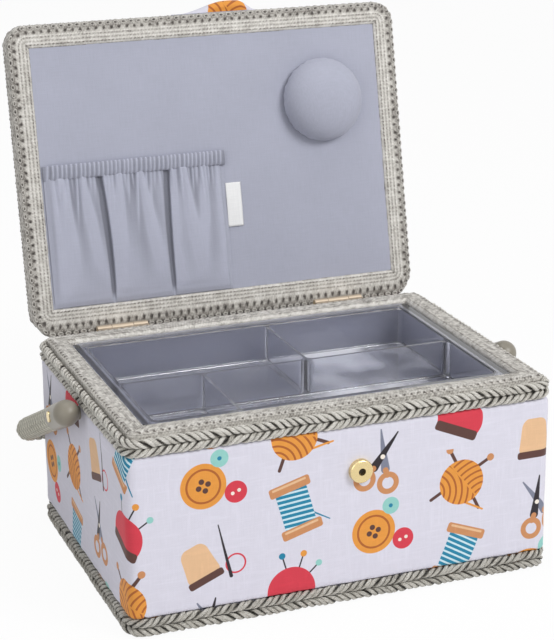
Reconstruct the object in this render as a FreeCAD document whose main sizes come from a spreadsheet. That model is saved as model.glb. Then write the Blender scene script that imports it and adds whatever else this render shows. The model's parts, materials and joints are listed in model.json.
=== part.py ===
import FreeCAD, Part
import math
import os
import types

import Sketcher

V = FreeCAD.Vector

# Driving sizes of the sewing box, in millimetres.
sizes = {
    # Carcass: board walls between an outer cloth and a lining
    "body_width": 246.5,
    "body_depth": 174.0,
    "rim_height": 121.0,
    "corner_radius": 3.0,
    "opening_radius": 1.5,
    "wall_swell": 6.1,
    "swell_corner": 6.0,
    "board_thickness": 5.5,
    "cloth_thickness": 1.0,
    "lining_thickness": 1.0,
    "cover_lift": 0.4,
    # Trims: flat braid over the rim, cords round rim and foot
    "rim_braid_thickness": 2.5,
    "rim_outer_drop": 13.5,
    "cord_diameter": 5.4,
    "cord_gap": 0.05,
    "rim_cord_drop": 2.7,
    "base_cord_lift": 0.5,
    "foot_hem": 2.5,
    # Clear tray and the two ledges it rests on
    "tray_top_drop": 2.6,
    "tray_height": 26.2,
    "tray_gap": 1.0,
    "tray_flange_width": 5.0,
    "tray_flange_thickness": 2.0,
    "tray_wall": 1.6,
    "tray_floor": 1.8,
    "tray_corner": 6.0,
    "tray_fillet": 2.0,
    "divider_thickness": 1.8,
    "divider_drop": 1.5,
    "long_divider_front": 1.0,
    "back_divider_right": 12.5,
    "front_divider_left": 54.0,
    "ledge_clearance": 1.5,
    "braid_ledge_gap": 0.2,
    # Brass hinges along the back of the rim
    "hinge_gap": 0.55,
    "hinge_drop": 3.0,
    "hinge_side_margin": 49.5,
    "hinge_width": 33.0,
    "barrel_radius": 2.5,
    "lid_knuckle": 14.0,
    "knuckle_gap": 0.3,
    "hinge_pin_radius": 1.1,
    "pin_fit": 0.06,
    "leaf_thickness": 0.8,
    "leaf_reach": 6.0,
    "leaf_clearance": 0.1,
    "nail_radius": 0.9,
    "nail_length": 7.0,
    "nail_spacing": 8.0,
    # Lid, measured closed
    "lid_side_setback": 1.2,
    "lid_front_setback": 0.25,
    "lid_corner": 9.0,
    "lid_gap": 0.4,
    "lid_back_inset": 1.0,
    "lid_braid_thickness": 2.2,
    "lid_border": 14.5,
    "lid_edge_height": 12.6,
    "lid_board_thickness": 5.0,
    "lid_pad_height": 8.9,
    "lid_crown": 3.0,
    # Gathered pocket on the lid's lining
    "pocket_margin": 4.5,
    "pocket_width": 115.5,
    "pocket_height": 89.5,
    "pouch_depth": 5.6,
    "pouch_foot": 1.9,
    "pocket_cloth_thickness": 0.9,
    "pouch_seam": 1.2,
    "header_height": 9.0,
    "header_gap": 0.8,
    "header_thickness": 3.8,
    "elastic_height": 6.0,
    "elastic_thickness": 1.0,
    "elastic_fit": 0.1,
    "label_width": 10.3,
    "label_height": 28.5,
    "label_thickness": 0.8,
    "label_rise": 40.0,
    # Pincushion on the lid's lining
    "pincushion_side_margin": 40.5,
    "pincushion_front_margin": 46.2,
    "pincushion_radius": 27.3,
    "pincushion_foot_radius": 22.5,
    "pincushion_height": 18.5,
    "pincushion_waist": 7.0,
    "pincushion_swell": 1.5,
    "pincushion_base_thickness": 1.5,
    # Closure tab and magnetic snap
    "tab_right": 8.0,
    "tab_width": 52.0,
    "tab_tip_width": 42.0,
    "tab_root_length": 20.0,
    "tab_layer": 1.0,
    "tab_bead_radius": 2.5,
    "tab_edge_round": 14.0,
    "tab_clearance": 0.3,
    "tab_lift": 1.0,
    "stiffener_inset": 4.0,
    "snap_drop": 40.0,
    "snap_radius": 7.0,
    "snap_thickness": 3.5,
    "snap_round": 1.2,
    "snap_hole_radius": 2.2,
    "snap_hole_depth": 2.4,
    "snap_stem_radius": 1.8,
    "snap_washer_radius": 8.0,
    "snap_washer_thickness": 0.8,
    "stud_plate": 2.0,
    "stud_radius": 1.8,
    "stud_length": 2.0,
    "stem_fit": 0.1,
    # Wrapped bail handle
    "pivot_drop": 18.5,
    "arm_gap": 1.25,
    "handle_wall_gap": 0.6,
    "handle_bend": 17.0,
    "wrap_radius": 7.4,
    "core_radius": 4.0,
    "core_fit": 0.1,
    "cap_radius": 7.8,
    "cap_front": 20.0,
    "cap_back": 10.0,
    "cap_socket": 6.0,
    "rivet_radius": 2.0,
    "rivet_fit": 0.06,
    "rivet_head_radius": 3.2,
    "rivet_head_height": 1.0,
    "rivet_seat_depth": 0.9,
    "bush_radius": 4.0,
    "bush_gap": 0.3,
    "rivet_washer_radius": 5.5,
    "rivet_washer_thickness": 1.0,
    # How far a cutting shape runs past the face it cuts
    "overrun": 1.0,
}

# How far the lid stands open, and how far the handle hangs below level, in degrees
angles = {"lid_open": 101.9, "handle_lean": 24.6, "tab_splay": 12.0}

# Where the pocket's two folds stand along its width
pouch_edge_shares = (0.0, 0.31, 0.663, 1.0)
# How high the widest part of the pincushion stands in its height, and how much of it the crown takes
pincushion_belly_share = 0.45
pincushion_crown_share = 0.275

doc = FreeCAD.newDocument("SewingBox")
sheet = doc.addObject("Spreadsheet::Sheet", "Sizes")


class Term:
    """A number with the sheet expression that gives it."""

    def __init__(self, value, text):
        self.value = value
        self.text = text

    def __add__(self, other):
        other = as_term(other)
        return Term(self.value + other.value, f"({self.text} + {other.text})")

    def __sub__(self, other):
        other = as_term(other)
        return Term(self.value - other.value, f"({self.text} - {other.text})")

    def __mul__(self, other):
        other = as_term(other)
        return Term(self.value * other.value, f"({self.text} * {other.text})")

    def __truediv__(self, other):
        other = as_term(other)
        return Term(self.value / other.value, f"({self.text} / {other.text})")

    def __neg__(self):
        return Term(-self.value, f"(0 - {self.text})")


def as_term(number):
    return number if isinstance(number, Term) else Term(number, repr(number))


def sine(angle):
    return Term(math.sin(math.radians(angle.value)), f"sin({angle.text})")


def cosine(angle):
    return Term(math.cos(math.radians(angle.value)), f"cos({angle.text})")


driving = {**sizes, **angles}
for row, (name, number) in enumerate(driving.items(), start=1):
    sheet.set(f"A{row}", name)
    sheet.set(f"B{row}", str(number))
    sheet.setAlias(f"B{row}", name)
doc.recompute()
s = types.SimpleNamespace(**{name: Term(number, f"Sizes.{name}") for name, number in driving.items()})
nil = Term(0.0, "0")


def bind(thing, prop, term):
    thing.setExpression(prop, as_term(term).text)


# Sketching helpers

def new_body(label):
    body = doc.addObject("PartDesign::Body", label)
    body.Label = label
    return body


def sketch_on(body, role="XY_Plane", lift=nil):
    sketch = body.newObject("Sketcher::SketchObject", "Sketch")
    plane = next(face for face in body.Origin.OriginFeatures if face.Role == role)
    sketch.AttachmentSupport = (plane, [""])
    sketch.MapMode = "FlatFace"
    bind(sketch, "AttachmentOffset.Base.z", lift)
    return sketch


def pin_point(sketch, edge, end, x, y):
    for kind, term in (("DistanceX", x), ("DistanceY", y)):
        index = sketch.addConstraint(Sketcher.Constraint(kind, -1, 1, edge, end, term.value))
        bind(sketch, f"Constraints[{index}]", term)


def arc_between(start, end, radius, turn):
    """Arc from start to end; turn 1 has its centre on the left, -1 on the right."""
    middle = (start + end) * 0.5
    half = end - start
    half.multiply(0.5)
    reach = math.sqrt(max(radius**2 - half.Length**2, 0.0))
    side = V(-half.y, half.x, 0)
    side.normalize()
    centre = middle + side * (reach * turn)
    first, last = (start, end) if turn > 0 else (end, start)
    angles = [math.atan2(p.y - centre.y, p.x - centre.x) for p in (first, last)]
    if angles[1] <= angles[0]:
        angles[1] += 2 * math.pi
    return Part.ArcOfCircle(Part.Circle(centre, V(0, 0, 1), radius), *angles)


def outline(sketch, corners):
    """Closed outline of (x, y) corners; with (x, y, radius, turn) the edge leaving the corner is an arc."""
    base = sketch.GeometryCount
    ends = []
    for place, corner in enumerate(corners):
        following = corners[(place + 1) % len(corners)]
        start = V(corner[0].value, corner[1].value, 0)
        end = V(following[0].value, following[1].value, 0)
        if len(corner) == 2:
            sketch.addGeometry(Part.LineSegment(start, end), False)
            ends.append((1, 2))
        else:
            sketch.addGeometry(arc_between(start, end, corner[2].value, corner[3]), False)
            ends.append((1, 2) if corner[3] > 0 else (2, 1))
    for place, corner in enumerate(corners):
        edge = base + place
        following = base + (place + 1) % len(corners)
        next_end = ends[(place + 1) % len(corners)][0]
        sketch.addConstraint(Sketcher.Constraint("Coincident", edge, ends[place][1], following, next_end))
        pin_point(sketch, edge, ends[place][0], corner[0], corner[1])
        if len(corner) > 2:
            index = sketch.addConstraint(Sketcher.Constraint("Radius", edge, corner[2].value))
            bind(sketch, f"Constraints[{index}]", corner[2])


def rounded(sketch, left, right, front, back, radius):
    """Rectangle with rounded corners, drawn counterclockwise."""
    outline(sketch, [
        (left + radius, front),
        (right - radius, front, radius, 1),
        (right, front + radius),
        (right, back - radius, radius, 1),
        (right - radius, back),
        (left + radius, back, radius, 1),
        (left, back - radius),
        (left, front + radius, radius, 1),
    ])


def circle(sketch, x, y, radius):
    edge = sketch.addGeometry(Part.Circle(V(x.value, y.value, 0), V(0, 0, 1), radius.value), False)
    pin_point(sketch, edge, 3, x, y)
    index = sketch.addConstraint(Sketcher.Constraint("Radius", edge, radius.value))
    bind(sketch, f"Constraints[{index}]", radius)


def pad(body, sketch, length):
    feature = body.newObject("PartDesign::Pad", "Pad")
    feature.Profile = sketch
    bind(feature, "Length", length)
    return feature


def pocket(body, sketch, length):
    feature = body.newObject("PartDesign::Pocket", "Pocket")
    feature.Profile = sketch
    bind(feature, "Length", length)
    return feature


def centred(width, depth):
    return (-width / 2, width / 2, -depth / 2, depth / 2)


def slab(label, edges, radius, bottom, top):
    body = new_body(label)
    sketch = sketch_on(body, lift=bottom)
    rounded(sketch, *edges, radius)
    pad(body, sketch, top - bottom)
    return body


def ring(label, edges, radius, wall, inner_radius, bottom, top):
    """Rounded rectangular band, wall thick, between two heights."""
    body = new_body(label)
    sketch = sketch_on(body, lift=bottom)
    left, right, front, back = edges
    rounded(sketch, left, right, front, back, radius)
    rounded(sketch, left + wall, right - wall, front + wall, back - wall, inner_radius)
    pad(body, sketch, top - bottom)
    return body


def turned(label, profile):
    """Piece turned about Z from (radius, height) corners."""
    body = new_body(label)
    sketch = sketch_on(body, "XZ_Plane")
    outline(sketch, profile)
    feature = body.newObject("PartDesign::Revolution", "Revolution")
    feature.Profile = sketch
    feature.ReferenceAxis = (sketch, ["V_Axis"])
    feature.Angle = 360
    return body


# Solid helpers

def block(label, left, right, front, back, bottom, top):
    box = doc.addObject("Part::Box", label)
    box.Label = label
    for prop, low, high in (("Length", left, right), ("Width", front, back), ("Height", bottom, top)):
        bind(box, prop, high - low)
    for prop, term in (("x", left), ("y", front), ("z", bottom)):
        bind(box, f"Placement.Base.{prop}", term)
    return box


def rod(label, direction, start, length, radius):
    """Cylinder that starts at a point and runs along X, Y or Z."""
    cylinder = doc.addObject("Part::Cylinder", label)
    cylinder.Label = label
    bind(cylinder, "Radius", radius)
    bind(cylinder, "Height", length)
    cylinder.Placement.Rotation = FreeCAD.Rotation(V(0, 0, 1), V(*direction))
    for prop, term in zip("xyz", start):
        bind(cylinder, f"Placement.Base.{prop}", term)
    return cylinder


def fuse(label, shapes):
    joined = doc.addObject("Part::MultiFuse", label)
    joined.Label = label
    joined.Shapes = shapes
    joined.Refine = True
    return joined


def cut(label, base, tool):
    rest = doc.addObject("Part::Cut", label)
    rest.Label = label
    rest.Base = base
    rest.Tool = tool
    return rest


def common(label, base, tool):
    shared = doc.addObject("Part::Common", label)
    shared.Label = label
    shared.Base = base
    shared.Tool = tool
    return shared


def group(label, members):
    """Solids of one node that keep apart, under one Placement."""
    bundle = doc.addObject("Part::Compound", label)
    bundle.Label = label
    bundle.Links = members
    return bundle


def place_at(thing, x, y, z):
    for prop, term in zip("xyz", (x, y, z)):
        bind(thing, f"Placement.Base.{prop}", term)


def turn_about_x(thing, angle):
    thing.Placement.Rotation = FreeCAD.Rotation(V(1, 0, 0), 1)
    bind(thing, "Placement.Rotation.Angle", angle)


nodes = []


def node(thing):
    nodes.append(thing)
    return thing


# Levels and outlines that several pieces share

wall_top = s.rim_height - s.rim_braid_thickness
board_radius = s.corner_radius - s.cloth_thickness
floor_top = s.cloth_thickness + s.board_thickness
board_width = s.body_width - s.cloth_thickness * 2
board_depth = s.body_depth - s.cloth_thickness * 2
inside_width = board_width - s.board_thickness * 2
inside_depth = board_depth - s.board_thickness * 2
lined_width = inside_width - s.lining_thickness * 2
lined_depth = inside_depth - s.lining_thickness * 2
opening_width = lined_width - s.rim_braid_thickness * 2
opening_depth = lined_depth - s.rim_braid_thickness * 2
rim_width = s.body_width + s.rim_braid_thickness * 2
rim_depth = s.body_depth + s.rim_braid_thickness * 2
cord_radius = s.cord_diameter / 2
cord_reach = s.rim_braid_thickness + s.cord_gap + s.cord_diameter
cord_step = s.cord_diameter + s.cord_gap
rim_cord_top = s.rim_height - s.rim_cord_drop - cord_radius
base_cord_low = s.base_cord_lift + cord_radius
swell_low = base_cord_low + cord_step + cord_radius + s.cord_gap
swell_high = rim_cord_top - cord_step - cord_radius - s.cord_gap
padded_width = s.body_width + s.wall_swell * 2
padded_depth = s.body_depth + s.wall_swell * 2
tray_top = s.rim_height - s.tray_top_drop
tray_seat = tray_top - s.tray_flange_thickness
hinge_back = s.body_depth / 2 + cord_reach + s.hinge_gap + s.barrel_radius
hinge_height = s.rim_height - s.hinge_drop
hinge_offset = s.body_width / 2 - s.hinge_side_margin
pivot_height = s.rim_height - s.pivot_drop
snap_height = s.rim_height - s.snap_drop
lid_width = s.body_width + (cord_reach - s.lid_side_setback) * 2
lid_depth = hinge_back - s.lid_back_inset + s.body_depth / 2 + cord_reach - s.lid_front_setback
arm_right = s.body_width / 2 + cord_reach + s.arm_gap + s.cap_radius
handle_reach = (padded_depth / 2 + s.handle_wall_gap + s.wrap_radius) / cosine(s.handle_lean)
sides = (("left", -1), ("right", 1))

# Bores that pass through the walls: the handle rivets and the snap's stem

rivet_bore = rod("rivet_bore", (1, 0, 0), (-s.body_width, nil, pivot_height), s.body_width * 2,
                 s.rivet_radius + s.rivet_fit)
snap_bore = rod("snap_bore", (0, 1, 0), (s.tab_right, -s.body_depth, snap_height), s.body_depth,
                s.snap_stem_radius + s.stem_fit)
wall_bores = fuse("wall_bores", [rivet_bore, snap_bore])

# Carcass

board_block = slab("board_block", centred(board_width, board_depth), board_radius, s.cloth_thickness,
                   wall_top)
board_inside = block("board_inside", *centred(inside_width, inside_depth), nil, s.rim_height)
bored_ring = cut("bored_ring", board_block, fuse("board_rooms", [board_inside, wall_bores]))

hinge_nails_in_box = []
for side, sign in sides:
    for step in (-1, 1):
        hinge_nails_in_box.append(rod(
            f"{side}_box_nail_{step + 1}", (0, 0, -1),
            (hinge_offset * sign + s.nail_spacing * step,
             s.body_depth / 2 - s.cloth_thickness - s.board_thickness / 2, wall_top + s.leaf_thickness),
            s.nail_length, s.nail_radius))
box_nails = node(group("hinge_box_nails", hinge_nails_in_box))


def wall_board(label, front, back, base):
    slice_box = block(f"{label}_slice", -s.body_width, s.body_width, front, back, nil, s.rim_height)
    return common(label, base, slice_box)


node(wall_board("front_board", -s.body_depth, -inside_depth / 2, bored_ring))
plain_back = wall_board("back_board_blank", inside_depth / 2, s.body_depth, bored_ring)
node(cut("back_board", plain_back, box_nails))
for side, sign in sides:
    ends = (nil, s.body_width) if sign > 0 else (-s.body_width, nil)
    slice_box = block(f"{side}_board_slice", *ends, -inside_depth / 2, inside_depth / 2, nil, s.rim_height)
    node(common(f"{side}_board", bored_ring, slice_box))

node(slab("base_cloth", centred(board_width, board_depth), board_radius, nil, s.cloth_thickness))
node(block("base_board", *centred(inside_width, inside_depth), s.cloth_thickness, floor_top))
node(block("floor_lining", *centred(lined_width, lined_depth), floor_top, floor_top + s.lining_thickness))

# Wadding round the wall between the two pairs of cords, and the cloth drawn over it

padding_low = swell_low + s.cloth_thickness
padding_high = swell_high - s.cloth_thickness
padding_edges = centred(padded_width - s.cloth_thickness * 2, padded_depth - s.cloth_thickness * 2)
padding_ring = ring("padding_ring", padding_edges, s.swell_corner - s.cloth_thickness, s.wall_swell,
                    board_radius, padding_low, padding_high)
node(cut("wall_padding", padding_ring, wall_bores))
flat_edges = centred(s.body_width, s.body_depth)
hem_edges = centred(s.body_width + s.foot_hem * 2, s.body_depth + s.foot_hem * 2)
padded_edges = centred(padded_width, padded_depth)
turn_width = s.wall_swell + s.cloth_thickness
cover_blank = fuse("cover_blank", [
    ring("cover_face", padded_edges, s.swell_corner, s.cloth_thickness, s.swell_corner - s.cloth_thickness,
         swell_low, swell_high),
    ring("cover_low_turn", padded_edges, s.swell_corner, turn_width, board_radius, swell_low, padding_low),
    ring("cover_high_turn", padded_edges, s.swell_corner, turn_width, board_radius,
         padding_high, swell_high),
    ring("cover_foot", hem_edges, s.corner_radius + s.foot_hem, s.foot_hem + s.cloth_thickness, board_radius,
         s.cover_lift, padding_low),
    ring("cover_head", flat_edges, s.corner_radius, s.cloth_thickness, board_radius, padding_high, wall_top),
])
node(cut("outer_cover", cover_blank, wall_bores))

# Lining of the walls

lining_block = block("lining_block", *centred(inside_width, inside_depth), floor_top, wall_top)
lining_inside = block("lining_inside", *centred(lined_width, lined_depth), nil, s.rim_height)
node(cut("wall_lining", lining_block, fuse("lining_rooms", [lining_inside, wall_bores])))

# Tray ledges, recessed where a handle rivet's washer stands behind them

tray_width = opening_width - s.tray_gap * 2
tray_depth = opening_depth - s.tray_gap * 2
tub_width = tray_width - s.tray_flange_width * 2
tub_depth = tray_depth - s.tray_flange_width * 2
ledge_face = tub_width / 2 + s.ledge_clearance
washer_room = rod("washer_room", (1, 0, 0),
                  (-lined_width / 2 - s.overrun, nil, pivot_height),
                  lined_width + s.overrun * 2, s.rivet_washer_radius + s.tab_clearance)
washer_gap = block("washer_gap", -lined_width / 2 + s.rivet_washer_thickness * 2,
                   lined_width / 2 - s.rivet_washer_thickness * 2, -s.body_depth, s.body_depth,
                   nil, s.rim_height)
washer_recess = cut("washer_recess", washer_room, washer_gap)
for side, sign in sides:
    ends = (ledge_face, lined_width / 2) if sign > 0 else (-lined_width / 2, -ledge_face)
    plain_ledge = block(f"{side}_ledge_blank", *ends, s.opening_radius - lined_depth / 2,
                        lined_depth / 2 - s.opening_radius, floor_top + s.lining_thickness, tray_seat)
    node(cut(f"{side}_tray_ledge", plain_ledge, washer_recess))

# Rim braid, folded over the wall and slotted for the hinge leaves

braid_top = ring("braid_top", centred(rim_width, rim_depth), s.corner_radius + s.rim_braid_thickness,
                 (rim_width - opening_width) / 2, s.opening_radius, wall_top, s.rim_height)
braid_outside = ring("braid_outside", centred(rim_width, rim_depth),
                     s.corner_radius + s.rim_braid_thickness, s.rim_braid_thickness, s.corner_radius,
                     s.rim_height - s.rim_outer_drop, wall_top)
braid_inside = ring("braid_inside", centred(lined_width, lined_depth), s.opening_radius,
                    s.rim_braid_thickness, s.opening_radius, tray_seat + s.braid_ledge_gap, wall_top)
leaf_front = inside_depth / 2 - s.leaf_clearance
leaf_slots = []
for side, sign in sides:
    middle = hinge_offset * sign
    reach = s.hinge_width / 2 + s.leaf_clearance
    leaf_slots.append(block(f"{side}_leaf_slot", middle - reach, middle + reach, leaf_front,
                            hinge_back, wall_top, wall_top + s.leaf_thickness + s.leaf_clearance))
folded_braid = fuse("folded_braid", [braid_top, braid_outside, braid_inside])
node(cut("rim_braid", folded_braid, fuse("leaf_slots", leaf_slots)))


# Plaited cords: two loops round the rim, two round the foot

def cord_loop(label, width, depth, radius, height):
    body = new_body(label)
    path = sketch_on(body, lift=height)
    half_width = width / 2
    half_depth = depth / 2
    outline(path, [
        (nil, -half_depth),
        (half_width - radius, -half_depth, radius, 1),
        (half_width, radius - half_depth),
        (half_width, half_depth - radius, radius, 1),
        (half_width - radius, half_depth),
        (radius - half_width, half_depth, radius, 1),
        (-half_width, half_depth - radius),
        (-half_width, radius - half_depth, radius, 1),
        (radius - half_width, -half_depth),
    ])
    section = sketch_on(body, "YZ_Plane")
    circle(section, -half_depth, height, cord_radius)
    pipe = body.newObject("PartDesign::AdditivePipe", "Pipe")
    pipe.Profile = section
    pipe.Spine = (path, [f"Edge{edge + 1}" for edge in range(path.GeometryCount)])
    return body


rim_cord_out = s.rim_braid_thickness + s.cord_gap + cord_radius
base_cord_out = s.foot_hem + s.cord_gap + cord_radius
for label, out, height in (
    ("rim_cord_upper", rim_cord_out, rim_cord_top),
    ("rim_cord_lower", rim_cord_out, rim_cord_top - cord_step),
    ("base_cord_lower", base_cord_out, base_cord_low),
    ("base_cord_upper", base_cord_out, base_cord_low + cord_step),
):
    node(cord_loop(label, s.body_width + out * 2, s.body_depth + out * 2, s.corner_radius + out, height))

# Clear tray: a flanged tub with four compartments

tray = new_body("tray")
tub_sketch = sketch_on(tray, lift=tray_top - s.tray_height)
rounded(tub_sketch, *centred(tub_width, tub_depth), s.tray_corner)
pad(tray, tub_sketch, s.tray_height)
flange_sketch = sketch_on(tray, lift=tray_seat)
rounded(flange_sketch, *centred(tray_width, tray_depth), s.tray_corner)
pad(tray, flange_sketch, s.tray_flange_thickness)
well_sketch = sketch_on(tray, lift=tray_top)
well_left = s.tray_wall - tub_width / 2
well_right = tub_width / 2 - s.tray_wall
well_front = s.tray_wall - tub_depth / 2
well_back = tub_depth / 2 - s.tray_wall
well_radius = s.tray_corner - s.tray_wall
half_divider = s.divider_thickness / 2
long_divider = -s.long_divider_front
for edges in (
    (well_left, s.back_divider_right - half_divider, long_divider + half_divider, well_back),
    (s.back_divider_right + half_divider, well_right, long_divider + half_divider, well_back),
    (well_left, -s.front_divider_left - half_divider, well_front, long_divider - half_divider),
    (half_divider - s.front_divider_left, well_right, well_front, long_divider - half_divider),
):
    rounded(well_sketch, *edges, well_radius)
pocket(tray, well_sketch, s.tray_height - s.tray_floor)
crest_sketch = sketch_on(tray, lift=tray_top)
rounded(crest_sketch, well_left, well_right, well_front, well_back, well_radius)
crests = pocket(tray, crest_sketch, s.divider_drop)
doc.recompute()
well_floor = (tray_top - s.tray_height + s.tray_floor).value
floor_edges = [
    f"Edge{index}"
    for index, edge in enumerate(tray.Shape.Edges, start=1)
    if abs(edge.BoundBox.ZMin - well_floor) < 1e-6 and abs(edge.BoundBox.ZMax - well_floor) < 1e-6
]
coves = tray.newObject("PartDesign::Fillet", "Coves")
coves.Base = (crests, floor_edges)
bind(coves, "Radius", s.tray_fillet)
node(tray)

# Magnetic snap's socket, on the front wall, with its washer inside

socket_length = s.wall_swell + s.cloth_thickness + s.board_thickness + s.lining_thickness
socket = node(turned("snap_socket", [
    (nil, -socket_length - s.snap_washer_thickness),
    (s.snap_stem_radius, -socket_length - s.snap_washer_thickness),
    (s.snap_stem_radius, nil),
    (s.snap_radius, nil),
    (s.snap_radius, s.snap_thickness - s.snap_round, s.snap_round, 1),
    (s.snap_radius - s.snap_round, s.snap_thickness),
    (s.snap_hole_radius, s.snap_thickness),
    (s.snap_hole_radius, s.snap_thickness - s.snap_hole_depth),
    (nil, s.snap_thickness - s.snap_hole_depth),
]))
socket_washer = node(turned("snap_socket_washer", [
    (s.snap_stem_radius + s.stem_fit, -socket_length - s.snap_washer_thickness),
    (s.snap_washer_radius, -socket_length - s.snap_washer_thickness),
    (s.snap_washer_radius, -socket_length),
    (s.snap_stem_radius + s.stem_fit, -socket_length),
]))
for piece in (socket, socket_washer):
    turn_about_x(piece, Term(90.0, "90"))
    place_at(piece, s.tab_right, -padded_depth / 2, snap_height)


# Brass hinges: two knuckles on the box leaf, one on the lid leaf, and a pin

outer_knuckle = (s.hinge_width - s.lid_knuckle) / 2 - s.knuckle_gap
box_pin_room = s.hinge_pin_radius + s.pin_fit / 2
lid_pin_room = s.hinge_pin_radius + s.pin_fit


def on_lid(thing):
    """Stands a lid piece, drawn closed about the hinge axis, at its open rest."""
    turn_about_x(thing, -s.lid_open)
    place_at(thing, nil, hinge_back, hinge_height)
    return thing


lid_under = s.rim_height + s.lid_gap - hinge_height
lining_face = lid_under + s.lid_braid_thickness
lid_board_under = lining_face + s.lining_thickness
lid_board_top = lid_board_under + s.lid_board_thickness
lid_nails = []
for side, sign in sides:
    middle = hinge_offset * sign
    near = middle - s.hinge_width / 2
    far = middle + s.hinge_width / 2
    notch_front = hinge_back - s.barrel_radius - s.knuckle_gap
    plate = block(f"{side}_box_plate", near, far, leaf_front + s.leaf_clearance, notch_front,
                  wall_top, wall_top + s.leaf_thickness)
    straps = [
        block(f"{side}_box_strap_near", near, near + outer_knuckle, notch_front, hinge_back,
              wall_top, wall_top + s.leaf_thickness),
        block(f"{side}_box_strap_far", far - outer_knuckle, far, notch_front, hinge_back,
              wall_top, wall_top + s.leaf_thickness),
    ]
    knuckles = [
        rod(f"{side}_box_knuckle_near", (1, 0, 0), (near, hinge_back, hinge_height), outer_knuckle,
            s.barrel_radius),
        rod(f"{side}_box_knuckle_far", (1, 0, 0), (far - outer_knuckle, hinge_back, hinge_height),
            outer_knuckle, s.barrel_radius),
    ]
    box_leaf = fuse(f"{side}_box_leaf_blank", [plate] + straps + knuckles)
    box_bore = rod(f"{side}_box_bore", (1, 0, 0), (near - s.overrun, hinge_back, hinge_height),
                   s.hinge_width + s.overrun * 2, box_pin_room)
    box_holes = fuse(f"{side}_box_leaf_holes", [box_bore] + [
        nail for nail in hinge_nails_in_box if nail.Label.startswith(side)])
    node(cut(f"{side}_hinge_box_leaf", box_leaf, box_holes))
    node(rod(f"{side}_hinge_pin", (1, 0, 0), (near, hinge_back, hinge_height), s.hinge_width,
             s.hinge_pin_radius))

    lid_near = middle - s.lid_knuckle / 2
    lid_far = middle + s.lid_knuckle / 2
    half_leaf = s.leaf_thickness / 2
    web = block(f"{side}_lid_web", lid_near, lid_far, -half_leaf, half_leaf, nil, lid_board_under)
    lid_plate = block(f"{side}_lid_plate", lid_near, lid_far, -s.lid_border - s.leaf_reach, half_leaf,
                      lid_board_under - s.leaf_thickness, lid_board_under)
    lid_knuckle = rod(f"{side}_lid_knuckle", (1, 0, 0), (lid_near, nil, nil), s.lid_knuckle,
                      s.barrel_radius)
    lid_bore = rod(f"{side}_lid_bore", (1, 0, 0), (lid_near - s.overrun, nil, nil),
                   s.lid_knuckle + s.overrun * 2, lid_pin_room)
    nails = [
        rod(f"{side}_lid_nail_{step + 1}", (0, 0, 1),
            (middle + s.nail_spacing / 2 * step, -s.lid_border, lid_board_under - s.leaf_thickness),
            s.lid_board_thickness, s.nail_radius)
        for step in (-1, 1)
    ]
    lid_nails += nails
    lid_leaf = fuse(f"{side}_lid_leaf_blank", [web, lid_plate, lid_knuckle])
    lid_holes = fuse(f"{side}_lid_leaf_holes", [lid_bore] + nails)
    node(on_lid(cut(f"{side}_hinge_lid_leaf", lid_leaf, lid_holes)))
node(on_lid(group("hinge_lid_nails", lid_nails)))

# Lid: board, crowned padding, cloth cover, lining and braided edge

lid_front = -s.lid_back_inset - lid_depth
lid_edges = (-lid_width / 2, lid_width / 2, lid_front, -s.lid_back_inset)


def inset(edges, amount):
    left, right, front, back = edges
    return (left + amount, right - amount, front + amount, back - amount)


cover_edges = inset(lid_edges, s.lid_braid_thickness)
cover_radius = s.lid_corner - s.lid_braid_thickness
lid_board_edges = inset(cover_edges, s.cloth_thickness)
lid_board_radius = cover_radius - s.cloth_thickness
lid_middle = (lid_edges[2] + lid_edges[3]) / 2
pad_top = lid_board_top + s.lid_pad_height


def crowned(label, edges, radius, bottom, top):
    """Slab whose top is crowned both ways, highest at the middle."""
    body = slab(f"{label}_slab", edges, radius, bottom, top)
    half_width = (edges[1] - edges[0]) / 2
    half_depth = (edges[3] - edges[2]) / 2
    across = (half_width * half_width + s.lid_crown * s.lid_crown) / (s.lid_crown * 2)
    along = (half_depth * half_depth + s.lid_crown * s.lid_crown) / (s.lid_crown * 2)
    crown_across = rod(f"{label}_crown_across", (0, 1, 0), (nil, edges[2] - s.overrun, top - across),
                       half_depth * 2 + s.overrun * 2, across)
    crown_along = rod(f"{label}_crown_along", (1, 0, 0), (edges[0] - s.overrun, lid_middle, top - along),
                      half_width * 2 + s.overrun * 2, along)
    crown = common(f"{label}_crown", crown_across, crown_along)
    return common(label, body, crown)


lid_nail_bores = fuse("lid_nail_bores", lid_nails)
lid_board_blank = slab("lid_board_blank", lid_board_edges, lid_board_radius, lid_board_under, lid_board_top)
node(on_lid(cut("lid_board", lid_board_blank, lid_nail_bores)))
node(on_lid(crowned("lid_padding", lid_board_edges, lid_board_radius, lid_board_top, pad_top)))
cover_outside = crowned("cover_outside", cover_edges, cover_radius, lid_board_under,
                        pad_top + s.cloth_thickness)
cover_inside = crowned("cover_inside", lid_board_edges, lid_board_radius, lid_board_under - s.overrun,
                       pad_top)
node(on_lid(cut("lid_cover", cover_outside, cover_inside)))

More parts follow.
